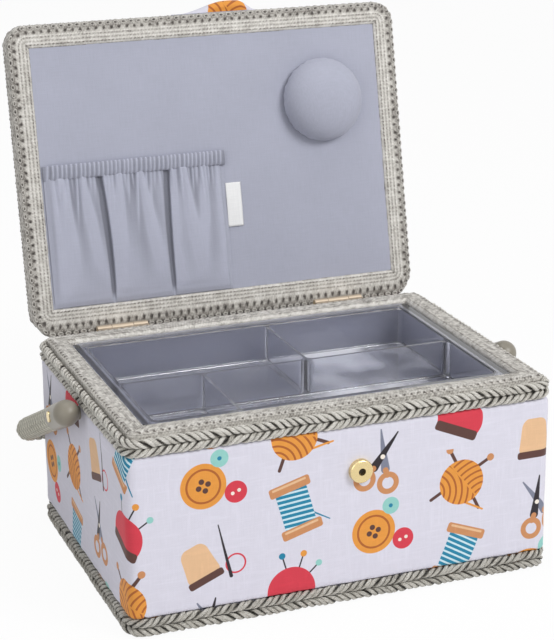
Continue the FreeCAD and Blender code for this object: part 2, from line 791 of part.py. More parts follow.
lid_leaf_slots = []
for side, sign in sides:
    middle = hinge_offset * sign
    reach = s.lid_knuckle / 2 + s.leaf_clearance
    lid_leaf_slots.append(block(
        f"{side}_lid_leaf_slot", middle - reach, middle + reach,
        -s.lid_border - s.leaf_reach - s.leaf_clearance, s.overrun,
        lid_board_under - s.leaf_thickness - s.leaf_clearance, lid_board_under))
lid_slots = fuse("lid_slots", lid_leaf_slots)
lining_sheet = slab("lining_sheet", lid_board_edges, lid_board_radius, lining_face, lid_board_under)
node(on_lid(cut("lid_lining", lining_sheet, lid_slots)))
lining_edges = inset(lid_edges, s.lid_border)
lining_corner = s.cloth_thickness * 2
border = ring("lid_border_ring", lid_edges, s.lid_corner, s.lid_border, lining_corner, lid_under,
              lining_face)
edge_band = ring("lid_edge_band", lid_edges, s.lid_corner, s.lid_braid_thickness, cover_radius, lining_face,
                 lid_under + s.lid_edge_height)
node(on_lid(cut("lid_braid", fuse("lid_braid_blank", [border, edge_band]), lid_slots)))

# Pocket: three pouches gathered into a header with an elastic in it

pocket_left = lining_edges[0] + s.pocket_margin
pocket_right = pocket_left + s.pocket_width
pocket_foot = lining_edges[3]
pocket_mouth = pocket_foot - s.pocket_height
header_foot = pocket_mouth + s.header_height


def pouch_section(body, along, depth, side_inset, back, seam):
    """Three arched pouches, side by side, seen along the lid."""
    sketch = sketch_on(body, "XZ_Plane", lift=-along)
    edges = [pocket_left + s.pocket_width * share for share in pouch_edge_shares]
    edges[0] = edges[0] + side_inset
    edges[-1] = edges[-1] - side_inset
    front = back - seam
    bulge = depth - seam
    corners = [(edges[0], back)]
    for left, right in zip(edges, edges[1:]):
        half = (right - left) / 2
        corners.append((left, front, (half * half + bulge * bulge) / (bulge * 2), 1))
    corners.append((edges[-1], front))
    corners.append((edges[-1], back))
    outline(sketch, corners)
    return sketch


pocket_body = new_body("pocket_cloth")
foot_section = pouch_section(pocket_body, pocket_foot, s.pouch_foot, nil, lining_face, s.pouch_seam)
mouth_section = pouch_section(pocket_body, header_foot, s.pouch_depth, nil, lining_face, s.pouch_seam)
shell = pocket_body.newObject("PartDesign::AdditiveLoft", "Pouches")
shell.Profile = foot_section
shell.Sections = [mouth_section]
shell.Ruled = True
hollow_foot = pouch_section(pocket_body, pocket_foot - s.pocket_cloth_thickness,
                            s.pouch_foot - s.pocket_cloth_thickness, s.pocket_cloth_thickness,
                            lining_face, s.pouch_seam - s.pocket_cloth_thickness)
hollow_mouth = pouch_section(pocket_body, header_foot - s.overrun, s.pouch_depth - s.pocket_cloth_thickness,
                             s.pocket_cloth_thickness, lining_face, s.pouch_seam - s.pocket_cloth_thickness)
hollow = pocket_body.newObject("PartDesign::SubtractiveLoft", "Hollow")
hollow.Profile = hollow_foot
hollow.Sections = [hollow_mouth]
hollow.Ruled = True
node(on_lid(pocket_body))

header_top = lining_face - s.header_gap
header_blank = block("header_blank", pocket_left, pocket_right, pocket_mouth, header_foot,
                     header_top - s.header_thickness, header_top)
elastic_front = pocket_mouth + (s.header_height - s.elastic_height) / 2
elastic_low = header_top - (s.header_thickness + s.elastic_thickness) / 2
elastic_room = block("elastic_room", pocket_left - s.overrun, pocket_right + s.overrun,
                     elastic_front - s.elastic_fit, elastic_front + s.elastic_height + s.elastic_fit,
                     elastic_low - s.elastic_fit, elastic_low + s.elastic_thickness + s.elastic_fit)
node(on_lid(cut("pocket_header", header_blank, elastic_room)))
elastic_strip = block("elastic_strip", pocket_left, pocket_right, elastic_front,
                      elastic_front + s.elastic_height, elastic_low, elastic_low + s.elastic_thickness)
node(on_lid(group("pocket_elastic", [elastic_strip])))
label_foot = pocket_foot - s.label_rise
label_strip = block("label_strip", pocket_right, pocket_right + s.label_width, label_foot - s.label_height,
                    label_foot, lining_face - s.label_thickness, lining_face)
node(on_lid(group("pocket_label", [label_strip])))

# Pincushion: a stuffed dome, drawn in where it meets its card base


def swell(chord_x, chord_y, rise):
    """Radius of the arc that rises this far above its chord."""
    return ((chord_x * chord_x + chord_y * chord_y) / 4 + rise * rise) / (rise * 2)


cushion_low = s.pincushion_base_thickness
cushion_top = cushion_low + s.pincushion_height
belly_height = cushion_low + s.pincushion_height * pincushion_belly_share
crown_height = cushion_top - s.pincushion_height * pincushion_crown_share
crown_radius = s.pincushion_radius - s.pincushion_waist
cushion = node(turned("pincushion_pad", [
    (nil, cushion_low),
    (s.pincushion_foot_radius, cushion_low,
     swell(s.pincushion_radius - s.pincushion_foot_radius, belly_height - cushion_low,
           s.pincushion_swell), 1),
    (s.pincushion_radius, belly_height,
     swell(s.pincushion_waist, crown_height - belly_height, s.pincushion_swell), 1),
    (crown_radius, crown_height,
     (crown_radius * crown_radius + (cushion_top - crown_height) * (cushion_top - crown_height))
     / ((cushion_top - crown_height) * 2), 1),
    (nil, cushion_top),
]))
cushion_base = node(turned("pincushion_base", [
    (nil, nil),
    (s.pincushion_foot_radius, nil),
    (s.pincushion_foot_radius, cushion_low),
    (nil, cushion_low),
]))


def lid_point(y, z):
    """Where a point of the closed lid, measured from the hinge axis, stands with the lid open."""
    turned_y = hinge_back + y * cosine(s.lid_open) + z * sine(s.lid_open)
    turned_z = hinge_height - y * sine(s.lid_open) + z * cosine(s.lid_open)
    return turned_y, turned_z


cushion_right = lining_edges[1] - s.pincushion_side_margin
cushion_y, cushion_z = lid_point(lining_edges[2] + s.pincushion_front_margin, lining_face)
for piece in (cushion, cushion_base):
    turn_about_x(piece, Term(180.0, "180") - s.lid_open)
    place_at(piece, cushion_right, cushion_y, cushion_z)

# Closure tab: anchored to the lid's front edge, folding at a bead and at a crease

tab_thickness = s.tab_layer * 3
half_tab = tab_thickness / 2
cover_rim_top = pad_top + s.cloth_thickness - s.lid_crown
tab_axis_y = lid_front - s.tab_bead_radius
tab_axis_z = cover_rim_top + s.tab_lift + half_tab
tab_left = s.tab_right - s.tab_width / 2
anchor_front = tab_axis_y + half_tab + s.tab_clearance
anchor_blank = block("anchor_blank", tab_left, tab_left + s.tab_width, anchor_front,
                     lid_front + s.lid_braid_thickness, lid_under + s.lid_edge_height,
                     tab_axis_z - half_tab)
anchor_seat = rod("anchor_seat", (1, 0, 0), (tab_left - s.overrun, tab_axis_y, tab_axis_z),
                  s.tab_width + s.overrun * 2, s.tab_bead_radius + s.tab_clearance)
node(on_lid(cut("tab_anchor", anchor_blank, anchor_seat)))

tab_y, tab_z = lid_point(tab_axis_y, tab_axis_z)


def on_tab(thing):
    """Hangs a tab piece, drawn flat along Y from the bead, straight down behind the open lid."""
    turn_about_x(thing, Term(-90.0, "-90"))
    place_at(thing, nil, tab_y, tab_z)
    return thing


bead = rod("tab_bead", (1, 0, 0), (tab_left, nil, nil), s.tab_width, s.tab_bead_radius)
root_plate = block("root_plate", tab_left, tab_left + s.tab_width, nil, s.tab_root_length,
                   -half_tab, half_tab)
root_crease = rod("root_crease", (1, 0, 0), (tab_left, s.tab_root_length, nil), s.tab_width, half_tab)
node(on_tab(fuse("tab_root", [bead, root_plate, root_crease])))

crease_room = rod("crease_room", (1, 0, 0), (tab_left - s.overrun, s.tab_root_length, nil),
                  s.tab_width + s.overrun * 2, half_tab + s.tab_clearance)
tip_narrow = (s.tab_width - s.tab_tip_width) / 2
tab_drop = tab_axis_z + hinge_height - snap_height
stud_along = tab_drop + s.tab_root_length - s.tab_root_length * cosine(s.tab_splay)
tip_end = stud_along + s.snap_washer_radius + s.stiffener_inset + s.tab_layer
stud_bore = rod("stud_bore", (0, 0, 1), (s.tab_right, stud_along, -tab_thickness), tab_thickness * 2,
                s.stud_radius + s.stem_fit)


def tip_outline(body, bottom, edge, start):
    """Tab's tapered tip with a rounded end, drawn in from the edge by so much."""
    sketch = sketch_on(body, lift=bottom)
    left = tab_left + edge
    right = tab_left + s.tab_width - edge
    shoulder = tip_end - edge - s.tab_edge_round
    outline(sketch, [
        (left, start),
        (right, start),
        (right - tip_narrow, shoulder, s.tab_edge_round, 1),
        (right - tip_narrow - s.tab_edge_round, tip_end - edge),
        (left + tip_narrow + s.tab_edge_round, tip_end - edge, s.tab_edge_round, 1),
        (left + tip_narrow, shoulder),
    ])
    return sketch


def tip_layer(label, bottom, edge, start):
    body = new_body(f"{label}_blank")
    pad(body, tip_outline(body, bottom, edge, start), s.tab_layer)
    return body


half_layer = s.tab_layer / 2
tip_start = s.tab_root_length
stiffener_start = tip_start + half_tab + s.stiffener_inset
outer_blank = tip_layer("tab_outer_cloth", -half_tab, nil, tip_start)
inner_blank = tip_layer("tab_inner_cloth", half_layer, nil, tip_start)
frame_blank = tip_layer("tab_frame", -half_layer, nil, tip_start)
stiffener_blank = tip_layer("tab_stiffener", -half_layer, s.stiffener_inset, stiffener_start)
washer_plate = rod("stud_washer_plate", (0, 0, 1), (s.tab_right, stud_along, -half_layer), s.tab_layer,
                   s.snap_washer_radius)
frame = cut("tab_frame_layer", frame_blank, stiffener_blank)
outer_joined = fuse("tab_outer_joined", [outer_blank, frame])
node(on_tab(cut("tab_outer_cloth", outer_joined, crease_room)))
node(on_tab(cut("tab_inner_cloth", inner_blank, fuse("inner_room", [crease_room, stud_bore]))))
node(on_tab(cut("tab_stiffener", stiffener_blank, washer_plate)))
node(on_tab(cut("snap_stud_washer", washer_plate, stud_bore)))
stud_face = half_tab + s.stud_plate
stud_plate = rod("stud_plate", (0, 0, 1), (s.tab_right, stud_along, half_tab), s.stud_plate, s.snap_radius)
stud_stem = rod("stud_stem", (0, 0, 1), (s.tab_right, stud_along, -half_layer), tab_thickness - s.tab_layer,
                s.stud_radius)
stud_nub = rod("stud_nub", (0, 0, 1), (s.tab_right, stud_along, half_tab), s.stud_plate + s.stud_length,
               s.stud_radius)
node(on_tab(fuse("snap_stud", [stud_plate, stud_stem, stud_nub])))


# Handle: a wrapped bail between two riveted end caps, hanging behind the box

def on_handle(thing):
    """Swings a handle piece, drawn level behind the pivots, down to its rest."""
    turn_about_x(thing, -s.handle_lean)
    place_at(thing, nil, nil, pivot_height)
    return thing


def bail(body, start):
    """Path from one arm, round the two bends, to the other arm."""
    path = sketch_on(body)
    stations = [
        (-arm_right, start),
        (-arm_right, handle_reach - s.handle_bend),
        (s.handle_bend - arm_right, handle_reach),
        (arm_right - s.handle_bend, handle_reach),
        (arm_right, handle_reach - s.handle_bend),
        (arm_right, start),
    ]
    places = [V(x.value, y.value, 0) for x, y in stations]
    for edge, (first, last) in enumerate(zip(places, places[1:])):
        if edge % 2:
            path.addGeometry(arc_between(first, last, s.handle_bend.value, -1), False)
        else:
            path.addGeometry(Part.LineSegment(first, last), False)
    heads = [1, 2, 1, 2, 1]
    tails = [2, 1, 2, 1, 2]
    for edge, (x, y) in enumerate(stations[:-1]):
        pin_point(path, edge, heads[edge], x, y)
        if edge % 2:
            index = path.addConstraint(Sketcher.Constraint("Radius", edge, s.handle_bend.value))
            bind(path, f"Constraints[{index}]", s.handle_bend)
        if edge:
            path.addConstraint(Sketcher.Constraint(
                "Coincident", edge - 1, tails[edge - 1], edge, heads[edge]))
    pin_point(path, len(stations) - 2, 2, *stations[-1])
    return path


def bail_pipe(body, kind, start, radius):
    path = bail(body, start)
    section = sketch_on(body, "XZ_Plane", lift=-start)
    circle(section, -arm_right, nil, radius)
    pipe = body.newObject(f"PartDesign::{kind}", "Pipe")
    pipe.Profile = section
    pipe.Spine = (path, [f"Edge{edge + 1}" for edge in range(path.GeometryCount)])


core = new_body("handle_core")
bail_pipe(core, "AdditivePipe", s.cap_back - s.cap_socket, s.core_radius)
node(on_handle(core))
wrap = new_body("handle_wrap")
bail_pipe(wrap, "AdditivePipe", s.cap_back, s.wrap_radius)
bail_pipe(wrap, "SubtractivePipe", s.cap_back, s.core_radius + s.core_fit)
node(on_handle(wrap))

dome_start = s.cap_front - s.cap_radius
socket_room = s.core_radius + s.core_fit
seat_face = arm_right + s.cap_radius - s.rivet_seat_depth
for side, sign in sides:
    cap_turned = turned(f"{side}_cap_turned", [
        (nil, -s.cap_back + s.cap_socket),
        (socket_room, -s.cap_back + s.cap_socket),
        (socket_room, -s.cap_back),
        (s.cap_radius, -s.cap_back),
        (s.cap_radius, dome_start, s.cap_radius, 1),
        (nil, s.cap_front),
    ])
    cap_turned.Placement.Rotation = FreeCAD.Rotation(V(1, 0, 0), 90)
    place_at(cap_turned, arm_right * sign, nil, nil)
    shank_room = rod(f"{side}_shank_room", (1, 0, 0),
                     (arm_right * sign - s.cap_radius - s.overrun, nil, nil),
                     s.cap_radius * 2 + s.overrun * 2, s.rivet_radius + s.rivet_fit)
    outside = arm_right * sign + (s.cap_radius + s.overrun) * sign
    seat = seat_face * sign
    low_x, high_x = (seat, outside) if sign > 0 else (outside, seat)
    seat_room = rod(f"{side}_seat_room", (1, 0, 0), (low_x, nil, nil), high_x - low_x,
                    s.rivet_head_radius + s.bush_gap)
    bush_face = (arm_right - s.cap_radius + s.rivet_seat_depth) * sign
    inside = (arm_right - s.cap_radius - s.overrun) * sign
    low_x, high_x = (inside, bush_face) if sign > 0 else (bush_face, inside)
    bush_room = rod(f"{side}_bush_room", (1, 0, 0), (low_x, nil, nil), high_x - low_x,
                    s.bush_radius + s.bush_gap)
    cap_room = fuse(f"{side}_cap_room", [shank_room, seat_room, bush_room])
    node(on_handle(cut(f"{side}_end_cap", cap_turned, cap_room)))

    wall_face = padded_width / 2 * sign
    bush_end = (arm_right - s.cap_radius + s.rivet_seat_depth - s.bush_gap) * sign
    low_x, high_x = (wall_face, bush_end) if sign > 0 else (bush_end, wall_face)
    bush_blank = rod(f"{side}_bush_blank", (1, 0, 0), (low_x, nil, pivot_height), high_x - low_x,
                     s.bush_radius)
    node(cut(f"{side}_handle_bush", bush_blank, rivet_bore))
    tail = (lined_width / 2 - s.rivet_washer_thickness) * sign
    head_under = (seat_face + s.bush_gap / 2) * sign
    head_top = head_under + s.rivet_head_height * sign
    low_x, high_x = (tail, head_top) if sign > 0 else (head_top, tail)
    shank = rod(f"{side}_rivet_shank", (1, 0, 0), (low_x, nil, pivot_height), high_x - low_x,
                s.rivet_radius)
    low_x, high_x = (head_under, head_top) if sign > 0 else (head_top, head_under)
    head = rod(f"{side}_rivet_head", (1, 0, 0), (low_x, nil, pivot_height), high_x - low_x,
               s.rivet_head_radius)
    node(fuse(f"{side}_handle_rivet", [shank, head]))
    low_x, high_x = (tail, lined_width / 2 * sign) if sign > 0 else (lined_width / 2 * sign, tail)
    washer_blank = rod(f"{side}_washer_blank", (1, 0, 0), (low_x, nil, pivot_height), high_x - low_x,
                       s.rivet_washer_radius)
    node(cut(f"{side}_rivet_washer", washer_blank, rivet_bore))

doc.recompute()

# Every object must be sound before anything is written
for thing in doc.Objects:
    if "Invalid" in thing.State or "Error" in thing.State:
        raise RuntimeError(f"{thing.Label} did not build: {thing.State}")
for thing in nodes:
    if thing.Shape.isNull() or not thing.Shape.isValid() or not thing.Shape.Solids:
        raise RuntimeError(f"{thing.Label} has no sound solid")

os.makedirs("parts", exist_ok=True)
for thing in nodes:
    thing.Shape.exportStep(os.path.join("parts", f"{thing.Label}.step"))
    print(f"{thing.Label}: {len(thing.Shape.Solids)} solid, {thing.Shape.Volume:.1f} cubic mm")
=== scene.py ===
import json
import math
import bpy
import bmesh
import numpy as np
from mathutils import Matrix, Vector

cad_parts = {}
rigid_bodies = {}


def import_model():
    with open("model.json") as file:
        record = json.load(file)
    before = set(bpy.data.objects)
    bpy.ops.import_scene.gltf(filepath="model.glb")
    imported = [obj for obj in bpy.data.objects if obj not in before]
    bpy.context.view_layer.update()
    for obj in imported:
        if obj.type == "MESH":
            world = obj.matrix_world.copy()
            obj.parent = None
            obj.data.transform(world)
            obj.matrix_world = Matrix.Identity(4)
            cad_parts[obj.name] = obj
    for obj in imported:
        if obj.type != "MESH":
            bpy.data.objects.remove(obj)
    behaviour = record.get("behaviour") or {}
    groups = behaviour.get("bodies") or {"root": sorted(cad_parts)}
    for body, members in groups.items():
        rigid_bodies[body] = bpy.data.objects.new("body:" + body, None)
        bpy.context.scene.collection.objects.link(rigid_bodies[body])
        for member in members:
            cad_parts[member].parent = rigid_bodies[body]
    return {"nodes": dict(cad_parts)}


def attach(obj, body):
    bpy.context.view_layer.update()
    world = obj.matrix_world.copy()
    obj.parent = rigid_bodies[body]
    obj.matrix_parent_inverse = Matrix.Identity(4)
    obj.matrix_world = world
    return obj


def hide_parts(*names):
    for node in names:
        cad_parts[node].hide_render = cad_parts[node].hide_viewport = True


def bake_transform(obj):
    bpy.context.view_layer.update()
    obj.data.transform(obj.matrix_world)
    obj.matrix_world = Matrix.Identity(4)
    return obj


for leftover in list(bpy.data.objects):
    bpy.data.objects.remove(leftover)
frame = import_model()
bpy.context.view_layer.update()
cadNodes = frame["nodes"]
tau = 2 * math.pi
print("frame loaded:", len(cadNodes), "nodes")


# shader and field wiring
def srgb(red, green, blue):
    linear = [c / 255 / 12.92 if c < 10.3 else ((c / 255 + 0.055) / 1.055) ** 2.4 for c in (red, green, blue)]
    return (*linear, 1.0)


def plug(tree, value, socket):
    if isinstance(value, Wire):
        tree.links.new(value.socket, socket)
    else:
        socket.default_value = value


class Wire:
    def __init__(self, tree, socket):
        self.tree = tree
        self.socket = socket

    def calc(self, operation, *values):
        node = self.tree.nodes.new("ShaderNodeMath")
        node.operation = operation
        for place, value in enumerate(values):
            plug(self.tree, value, node.inputs[place])
        return Wire(self.tree, node.outputs[0])

    def vector(self, operation, *values):
        node = self.tree.nodes.new("ShaderNodeVectorMath")
        node.operation = operation
        for place, value in enumerate(values):
            plug(self.tree, value, node.inputs["Scale" if operation == "SCALE" and place else place])
        single = operation in ("LENGTH", "DISTANCE", "DOT_PRODUCT")
        return Wire(self.tree, node.outputs["Value" if single else "Vector"])

    def __add__(self, other):
        return self.calc("ADD", self, other)

    __radd__ = __add__

    def __sub__(self, other):
        return self.calc("SUBTRACT", self, other)

    def __rsub__(self, other):
        return self.calc("SUBTRACT", other, self)

    def __mul__(self, other):
        return self.calc("MULTIPLY", self, other)

    def __truediv__(self, other):
        return self.calc("DIVIDE", self, other)

    def abs(self):
        return self.calc("ABSOLUTE", self)

    def floor(self):
        return self.calc("FLOOR", self)

    def fract(self):
        return self.calc("FRACT", self)

    def sin(self):
        return self.calc("SINE", self)

    def cos(self):
        return self.calc("COSINE", self)

    def most(self, other):
        return self.calc("MAXIMUM", self, other)

    def least(self, other):
        return self.calc("MINIMUM", self, other)

    def split(self):
        node = self.tree.nodes.new("ShaderNodeSeparateXYZ")
        plug(self.tree, self, node.inputs[0])
        return [Wire(self.tree, node.outputs[place]) for place in range(3)]

    def remap(self, low, high, smooth=True):
        node = self.tree.nodes.new("ShaderNodeMapRange")
        node.interpolation_type = "SMOOTHSTEP" if smooth else "LINEAR"
        plug(self.tree, self, node.inputs["Value"])
        node.inputs["From Min"].default_value = low
        node.inputs["From Max"].default_value = high
        return Wire(self.tree, node.outputs["Result"])


def joinXyz(tree, x, y, z=0.0):
    node = tree.nodes.new("ShaderNodeCombineXYZ")
    for place, value in enumerate((x, y, z)):
        plug(tree, value, node.inputs[place])
    return Wire(tree, node.outputs[0])


def mixColour(tree, share, first, second, way="MIX"):
    node = tree.nodes.new("ShaderNodeMix")
    node.data_type = "RGBA"
    node.blend_type = way
    plug(tree, share, node.inputs[0])
    plug(tree, first, node.inputs[6])
    plug(tree, second, node.inputs[7])
    return Wire(tree, node.outputs[2])


def speckle(tree, place, scale, detail=2.0):
    node = tree.nodes.new("ShaderNodeTexNoise")
    plug(tree, place, node.inputs["Vector"])
    node.inputs["Scale"].default_value = scale
    node.inputs["Detail"].default_value = detail
    return Wire(tree, node.outputs[0])


def shades(tree, value, stops):
    node = tree.nodes.new("ShaderNodeValToRGB")
    plug(tree, value, node.inputs[0])
    ramp = node.color_ramp
    while len(ramp.elements) < len(stops):
        ramp.elements.new(0.5)
    for element, (position, colour) in zip(ramp.elements, stops):
        element.position = position
        element.color = colour
    return Wire(tree, node.outputs[0])


def newGroup(name, inputs, outputs):
    tree = bpy.data.node_groups.new(name, "ShaderNodeTree")
    for label, kind in inputs:
        tree.interface.new_socket(name=label, in_out="INPUT", socket_type=kind)
    for label, kind in outputs:
        tree.interface.new_socket(name=label, in_out="OUTPUT", socket_type=kind)
    source = tree.nodes.new("NodeGroupInput")
    sink = tree.nodes.new("NodeGroupOutput")
    return tree, [Wire(tree, socket) for socket in source.outputs[:-1]], sink


def useGroup(tree, group, **values):
    node = tree.nodes.new("ShaderNodeGroup")
    node.node_tree = group
    for label, value in values.items():
        plug(tree, value, node.inputs[label])
    return {socket.name: Wire(tree, socket) for socket in node.outputs}


# slubbed weave shared by all the cloths
def makeClothWeave():
    tree, (place, pitch), sink = newGroup(
        "clothWeave", [("Place", "NodeSocketVector"), ("Pitch", "NodeSocketFloat")],
        [("Shade", "NodeSocketFloat"), ("Height", "NodeSocketFloat")])
    across, along, deep = place.split()
    warp = speckle(tree, joinXyz(tree, across * 26.0, along * 1.6, deep * 8.0), 60.0)
    weft = speckle(tree, joinXyz(tree, across * 1.6, along * 26.0, deep * 8.0), 60.0)
    ribs = (across / pitch * tau).sin() * (along / pitch * tau).sin()
    plug(tree, (warp + weft) * 0.5, sink.inputs["Shade"])
    plug(tree, (warp + weft) * 0.5 + ribs * 0.22, sink.inputs["Height"])
    return tree


clothWeave = makeClothWeave()

inks = {
    "ground": srgb(221, 219, 231), "caramel": srgb(205, 143, 96), "tan": srgb(232, 190, 148),
    "chocolate": srgb(92, 62, 56), "black": srgb(46, 40, 46), "mustard": srgb(232, 155, 66),
    "rust": srgb(176, 98, 46), "teal": srgb(32, 132, 166), "ice": srgb(206, 232, 240),
    "red": srgb(216, 62, 78), "mint": srgb(150, 208, 200), "cream": srgb(246, 236, 224),
    "slate": srgb(128, 132, 150),
}
printLayout = {"column": 0.0515, "row": 0.0435, "size": 1.14, "shift": 2.6, "tilt": 0.85}


class Motif:
    def __init__(self, tree, place, ground):
        self.tree = tree
        self.place = place
        self.colour = ground
        self.across, self.up, unused = place.split()

    def disc(self, x, y, radius):
        return self.place.vector("DISTANCE", self.place, (x, y, 0.0)) - radius

    def hoop(self, x, y, radius, half):
        return self.disc(x, y, radius).abs() - half

    def bar(self, x1, y1, x2, y2, start, end):
        run = (x2 - x1, y2 - y1, 0.0)
        square = run[0] ** 2 + run[1] ** 2
        offset = self.place.vector("SUBTRACT", self.place, (x1, y1, 0.0))
        share = offset.vector("DOT_PRODUCT", offset, run) / square
        share = share.most(0.0).least(1.0)
        near = joinXyz(self.tree, share * run[0], share * run[1])
        return offset.vector("DISTANCE", offset, near) - (share * (end - start) + start)

    def slab(self, x, y, halfX, halfY, radius, taper=0.0):
        flat = (self.across - x) * (self.up * taper + 1.0) if taper else self.across - x
        sideX = flat.abs() - (halfX - radius)
        sideY = (self.up - y).abs() - (halfY - radius)
        outside = joinXyz(self.tree, sideX.most(0.0), sideY.most(0.0))
        return outside.vector("LENGTH", outside) + sideX.most(sideY).least(0.0) - radius

    def paint(self, distance, ink, within=None):
        mask = distance.remap(0.14, -0.14)
        if within is not None:
            mask = mask * within.remap(0.14, -0.14)
        self.colour = mixColour(self.tree, mask, self.colour, inks[ink])


# printed sewing notions, half drop, each one jittered and tilted in its own cell
def makePrintNotions():
    tree, (place,), sink = newGroup("printNotions", [("Place", "NodeSocketVector")],
                                    [("Colour", "NodeSocketColor"), ("Ink", "NodeSocketFloat")])
    across, up, unused = place.split()
    column = (across / printLayout["column"]).floor()
    cellX = (across / printLayout["column"]).fract() - 0.5
    drop = column.calc("FLOORED_MODULO", column, 2.0) * 0.5
    rows = up / printLayout["row"] + drop
    row = rows.floor()
    cellY = rows.fract() - 0.5
    dice = tree.nodes.new("ShaderNodeTexWhiteNoise")
    dice.noise_dimensions = "2D"
    plug(tree, joinXyz(tree, column, row), dice.inputs["Vector"])
    throws = Wire(tree, dice.outputs["Color"]).split()
    wide, tall = (printLayout[side] * 1000 / printLayout["size"] for side in ("column", "row"))
    x = cellX * wide + (throws[0] - 0.5) * printLayout["shift"]
    y = cellY * tall + (throws[1] - 0.5) * printLayout["shift"]
    turn = tree.nodes.new("ShaderNodeVectorRotate")
    turn.rotation_type = "Z_AXIS"
    plug(tree, joinXyz(tree, x, y), turn.inputs["Vector"])
    plug(tree, (throws[2] - 0.5) * printLayout["tilt"], turn.inputs["Angle"])
    spot = Wire(tree, turn.outputs[0])
    ground = inks["ground"]

    spool = Motif(tree, spot, ground)
    spool.paint(spool.bar(8, -6, 15, -13, 0.45, 0.3), "teal")
    reel = spool.slab(0, 0, 8.4, 10.5, 1.6)
    spool.paint(reel, "teal")
    lines = (spool.up * 2.3 + spool.across * 0.42).sin()
    spool.paint(0.35 - lines, "ice", reel)
    for end in (12.2, -12.2):
        spool.paint(spool.slab(0, end, 11, 2.7, 1.3), "caramel")
        spool.paint(spool.slab(0, end + 1.2, 9.2, 0.6, 0.5), "tan")

    buttons = Motif(tree, spot, ground)
    buttons.paint(buttons.disc(-3, 1.5, 11.8), "mustard")
    buttons.paint(buttons.hoop(-3, 1.5, 8.6, 0.55), "rust")
    for holeX, holeY in ((-2.6, 0), (2.6, 0), (0, 2.6), (0, -2.6)):
        buttons.paint(buttons.disc(holeX - 3, holeY + 1.5, 1.45), "chocolate")
    buttons.paint(buttons.disc(10.5, -9.5, 5.8), "red")
    buttons.paint(buttons.disc(8.7, -9.5, 0.95), "cream")
    buttons.paint(buttons.disc(12.3, -9.5, 0.95), "cream")
    buttons.paint(buttons.disc(9.8, 10.8, 4.6), "mint")
    buttons.paint(buttons.disc(9.8, 10.8, 1.1), "teal")

    yarn = Motif(tree, spot, ground)
    for side in (1, -1):
        yarn.paint(yarn.bar(-14 * side, -13, 11.5 * side, 14, 0.9, 0.9), "chocolate")
        yarn.paint(yarn.disc(12 * side, 14.5, 2.0), "caramel")
    yarn.paint(yarn.bar(6, -11.5, 16.5, -13.5, 0.6, 0.5), "mustard")
    ball = yarn.disc(0, -1, 12.2)
    yarn.paint(ball, "mustard")
    wound = (yarn.disc(-15, -10, 0) * 1.9).sin()
    crossed = (yarn.disc(16, -9, 0) * 1.9).sin()
    yarn.paint((0.55 - wound).most(yarn.across * 0.7 + yarn.up), "rust", ball)
    yarn.paint((0.55 - crossed).most(yarn.across * -0.7 - yarn.up + 1.0), "rust", ball)

    shears = Motif(tree, spot, ground)
    shears.paint(shears.bar(3.2, -4, -4.8, 16, 2.4, 0.4), "slate")
    shears.paint(shears.bar(-3.2, -4, 4.8, 16, 2.4, 0.4), "black")
    for side in (1, -1):
        shears.paint(shears.bar(3.4 * side, -4.5, 5.2 * side, -7, 1.5, 1.5), "caramel")
        shears.paint(shears.hoop(6.6 * side, -11, 4.6, 1.45), "caramel")
    shears.paint(shears.disc(0, 2.2, 1.25), "cream")

    cushion = Motif(tree, spot, ground)
    pins = ((-4, 5, -8, 13.5, "teal"), (2, 6, 3.4, 15, "mustard"), (7, 3, 12.5, 10, "mint"))
    for x1, y1, x2, y2, head in pins:
        cushion.paint(cushion.bar(x1, y1, x2, y2, 0.4, 0.4), "black")
        cushion.paint(cushion.disc(x2, y2, 1.75), head)
    dome = cushion.disc(0, -5, 12.8).most(-9.5 - cushion.up)
    cushion.paint(dome, "red")
    grid = cushion.place.vector("SCALE", cushion.place, 0.235)
    grid = grid.vector("FRACTION", grid)
    cushion.paint(grid.vector("DISTANCE", grid, (0.5, 0.5, 0.5)) * 4.2 - 0.85, "cream", dome)
    cushion.paint(cushion.slab(0, -11, 12.2, 2.6, 1.6), "chocolate")

    thimble = Motif(tree, spot, ground)
    thimble.paint(thimble.hoop(12, -9.5, 5, 0.45), "red")
    thimble.paint(thimble.bar(7.2, -14.5, 12.2, 14, 0.95, 0.3), "black")
    cup = thimble.slab(-4.5, 0.5, 8, 10, 4.5, 0.016)
    thimble.paint(cup, "tan")
    dents = thimble.place.vector("SCALE", thimble.place, 0.36)
    dents = dents.vector("FRACTION", dents)
    thimble.paint(dents.vector("DISTANCE", dents, (0.5, 0.5, 0.5)) * 2.8 - 0.6, "caramel", cup)
    thimble.paint(thimble.slab(-4.5, -9.2, 9.6, 2.0, 1.4), "chocolate")

    kind = column.calc("FLOORED_MODULO", column + row * 2.0, 6.0)
    colour = spool.colour
    for place, motif in enumerate((buttons, yarn, shears, cushion, thimble), start=1):
        chosen = kind.calc("COMPARE", kind, float(place), 0.25)
        colour = mixColour(tree, chosen, colour, motif.colour)
    inked = colour.vector("DISTANCE", colour, ground[:3])
    plug(tree, colour, sink.inputs["Colour"])
    plug(tree, inked.remap(0.02, 0.12), sink.inputs["Ink"])
    return tree


printNotions = makePrintNotions()
print("shared shader groups made")


def newMaterial(name):
    material = bpy.data.materials.new(name)
    material.use_nodes = True
    tree = material.node_tree
    return material, tree, tree.nodes["Principled BSDF"]


def coordinates(tree, source):
    if source in ("UV", "Object"):
        return Wire(tree, tree.nodes.new("ShaderNodeTexCoord").outputs[source])
    node = tree.nodes.new("ShaderNodeAttribute")
    node.attribute_name = source
    return Wire(tree, node.outputs["Fac"])


def bump(tree, shader, height, strength, distance):
    node = tree.nodes.new("ShaderNodeBump")
    node.inputs["Strength"].default_value = strength
    node.inputs["Distance"].default_value = distance
    plug(tree, height, node.inputs["Height"])
    plug(tree, Wire(tree, node.outputs[0]), shader.inputs["Normal"])


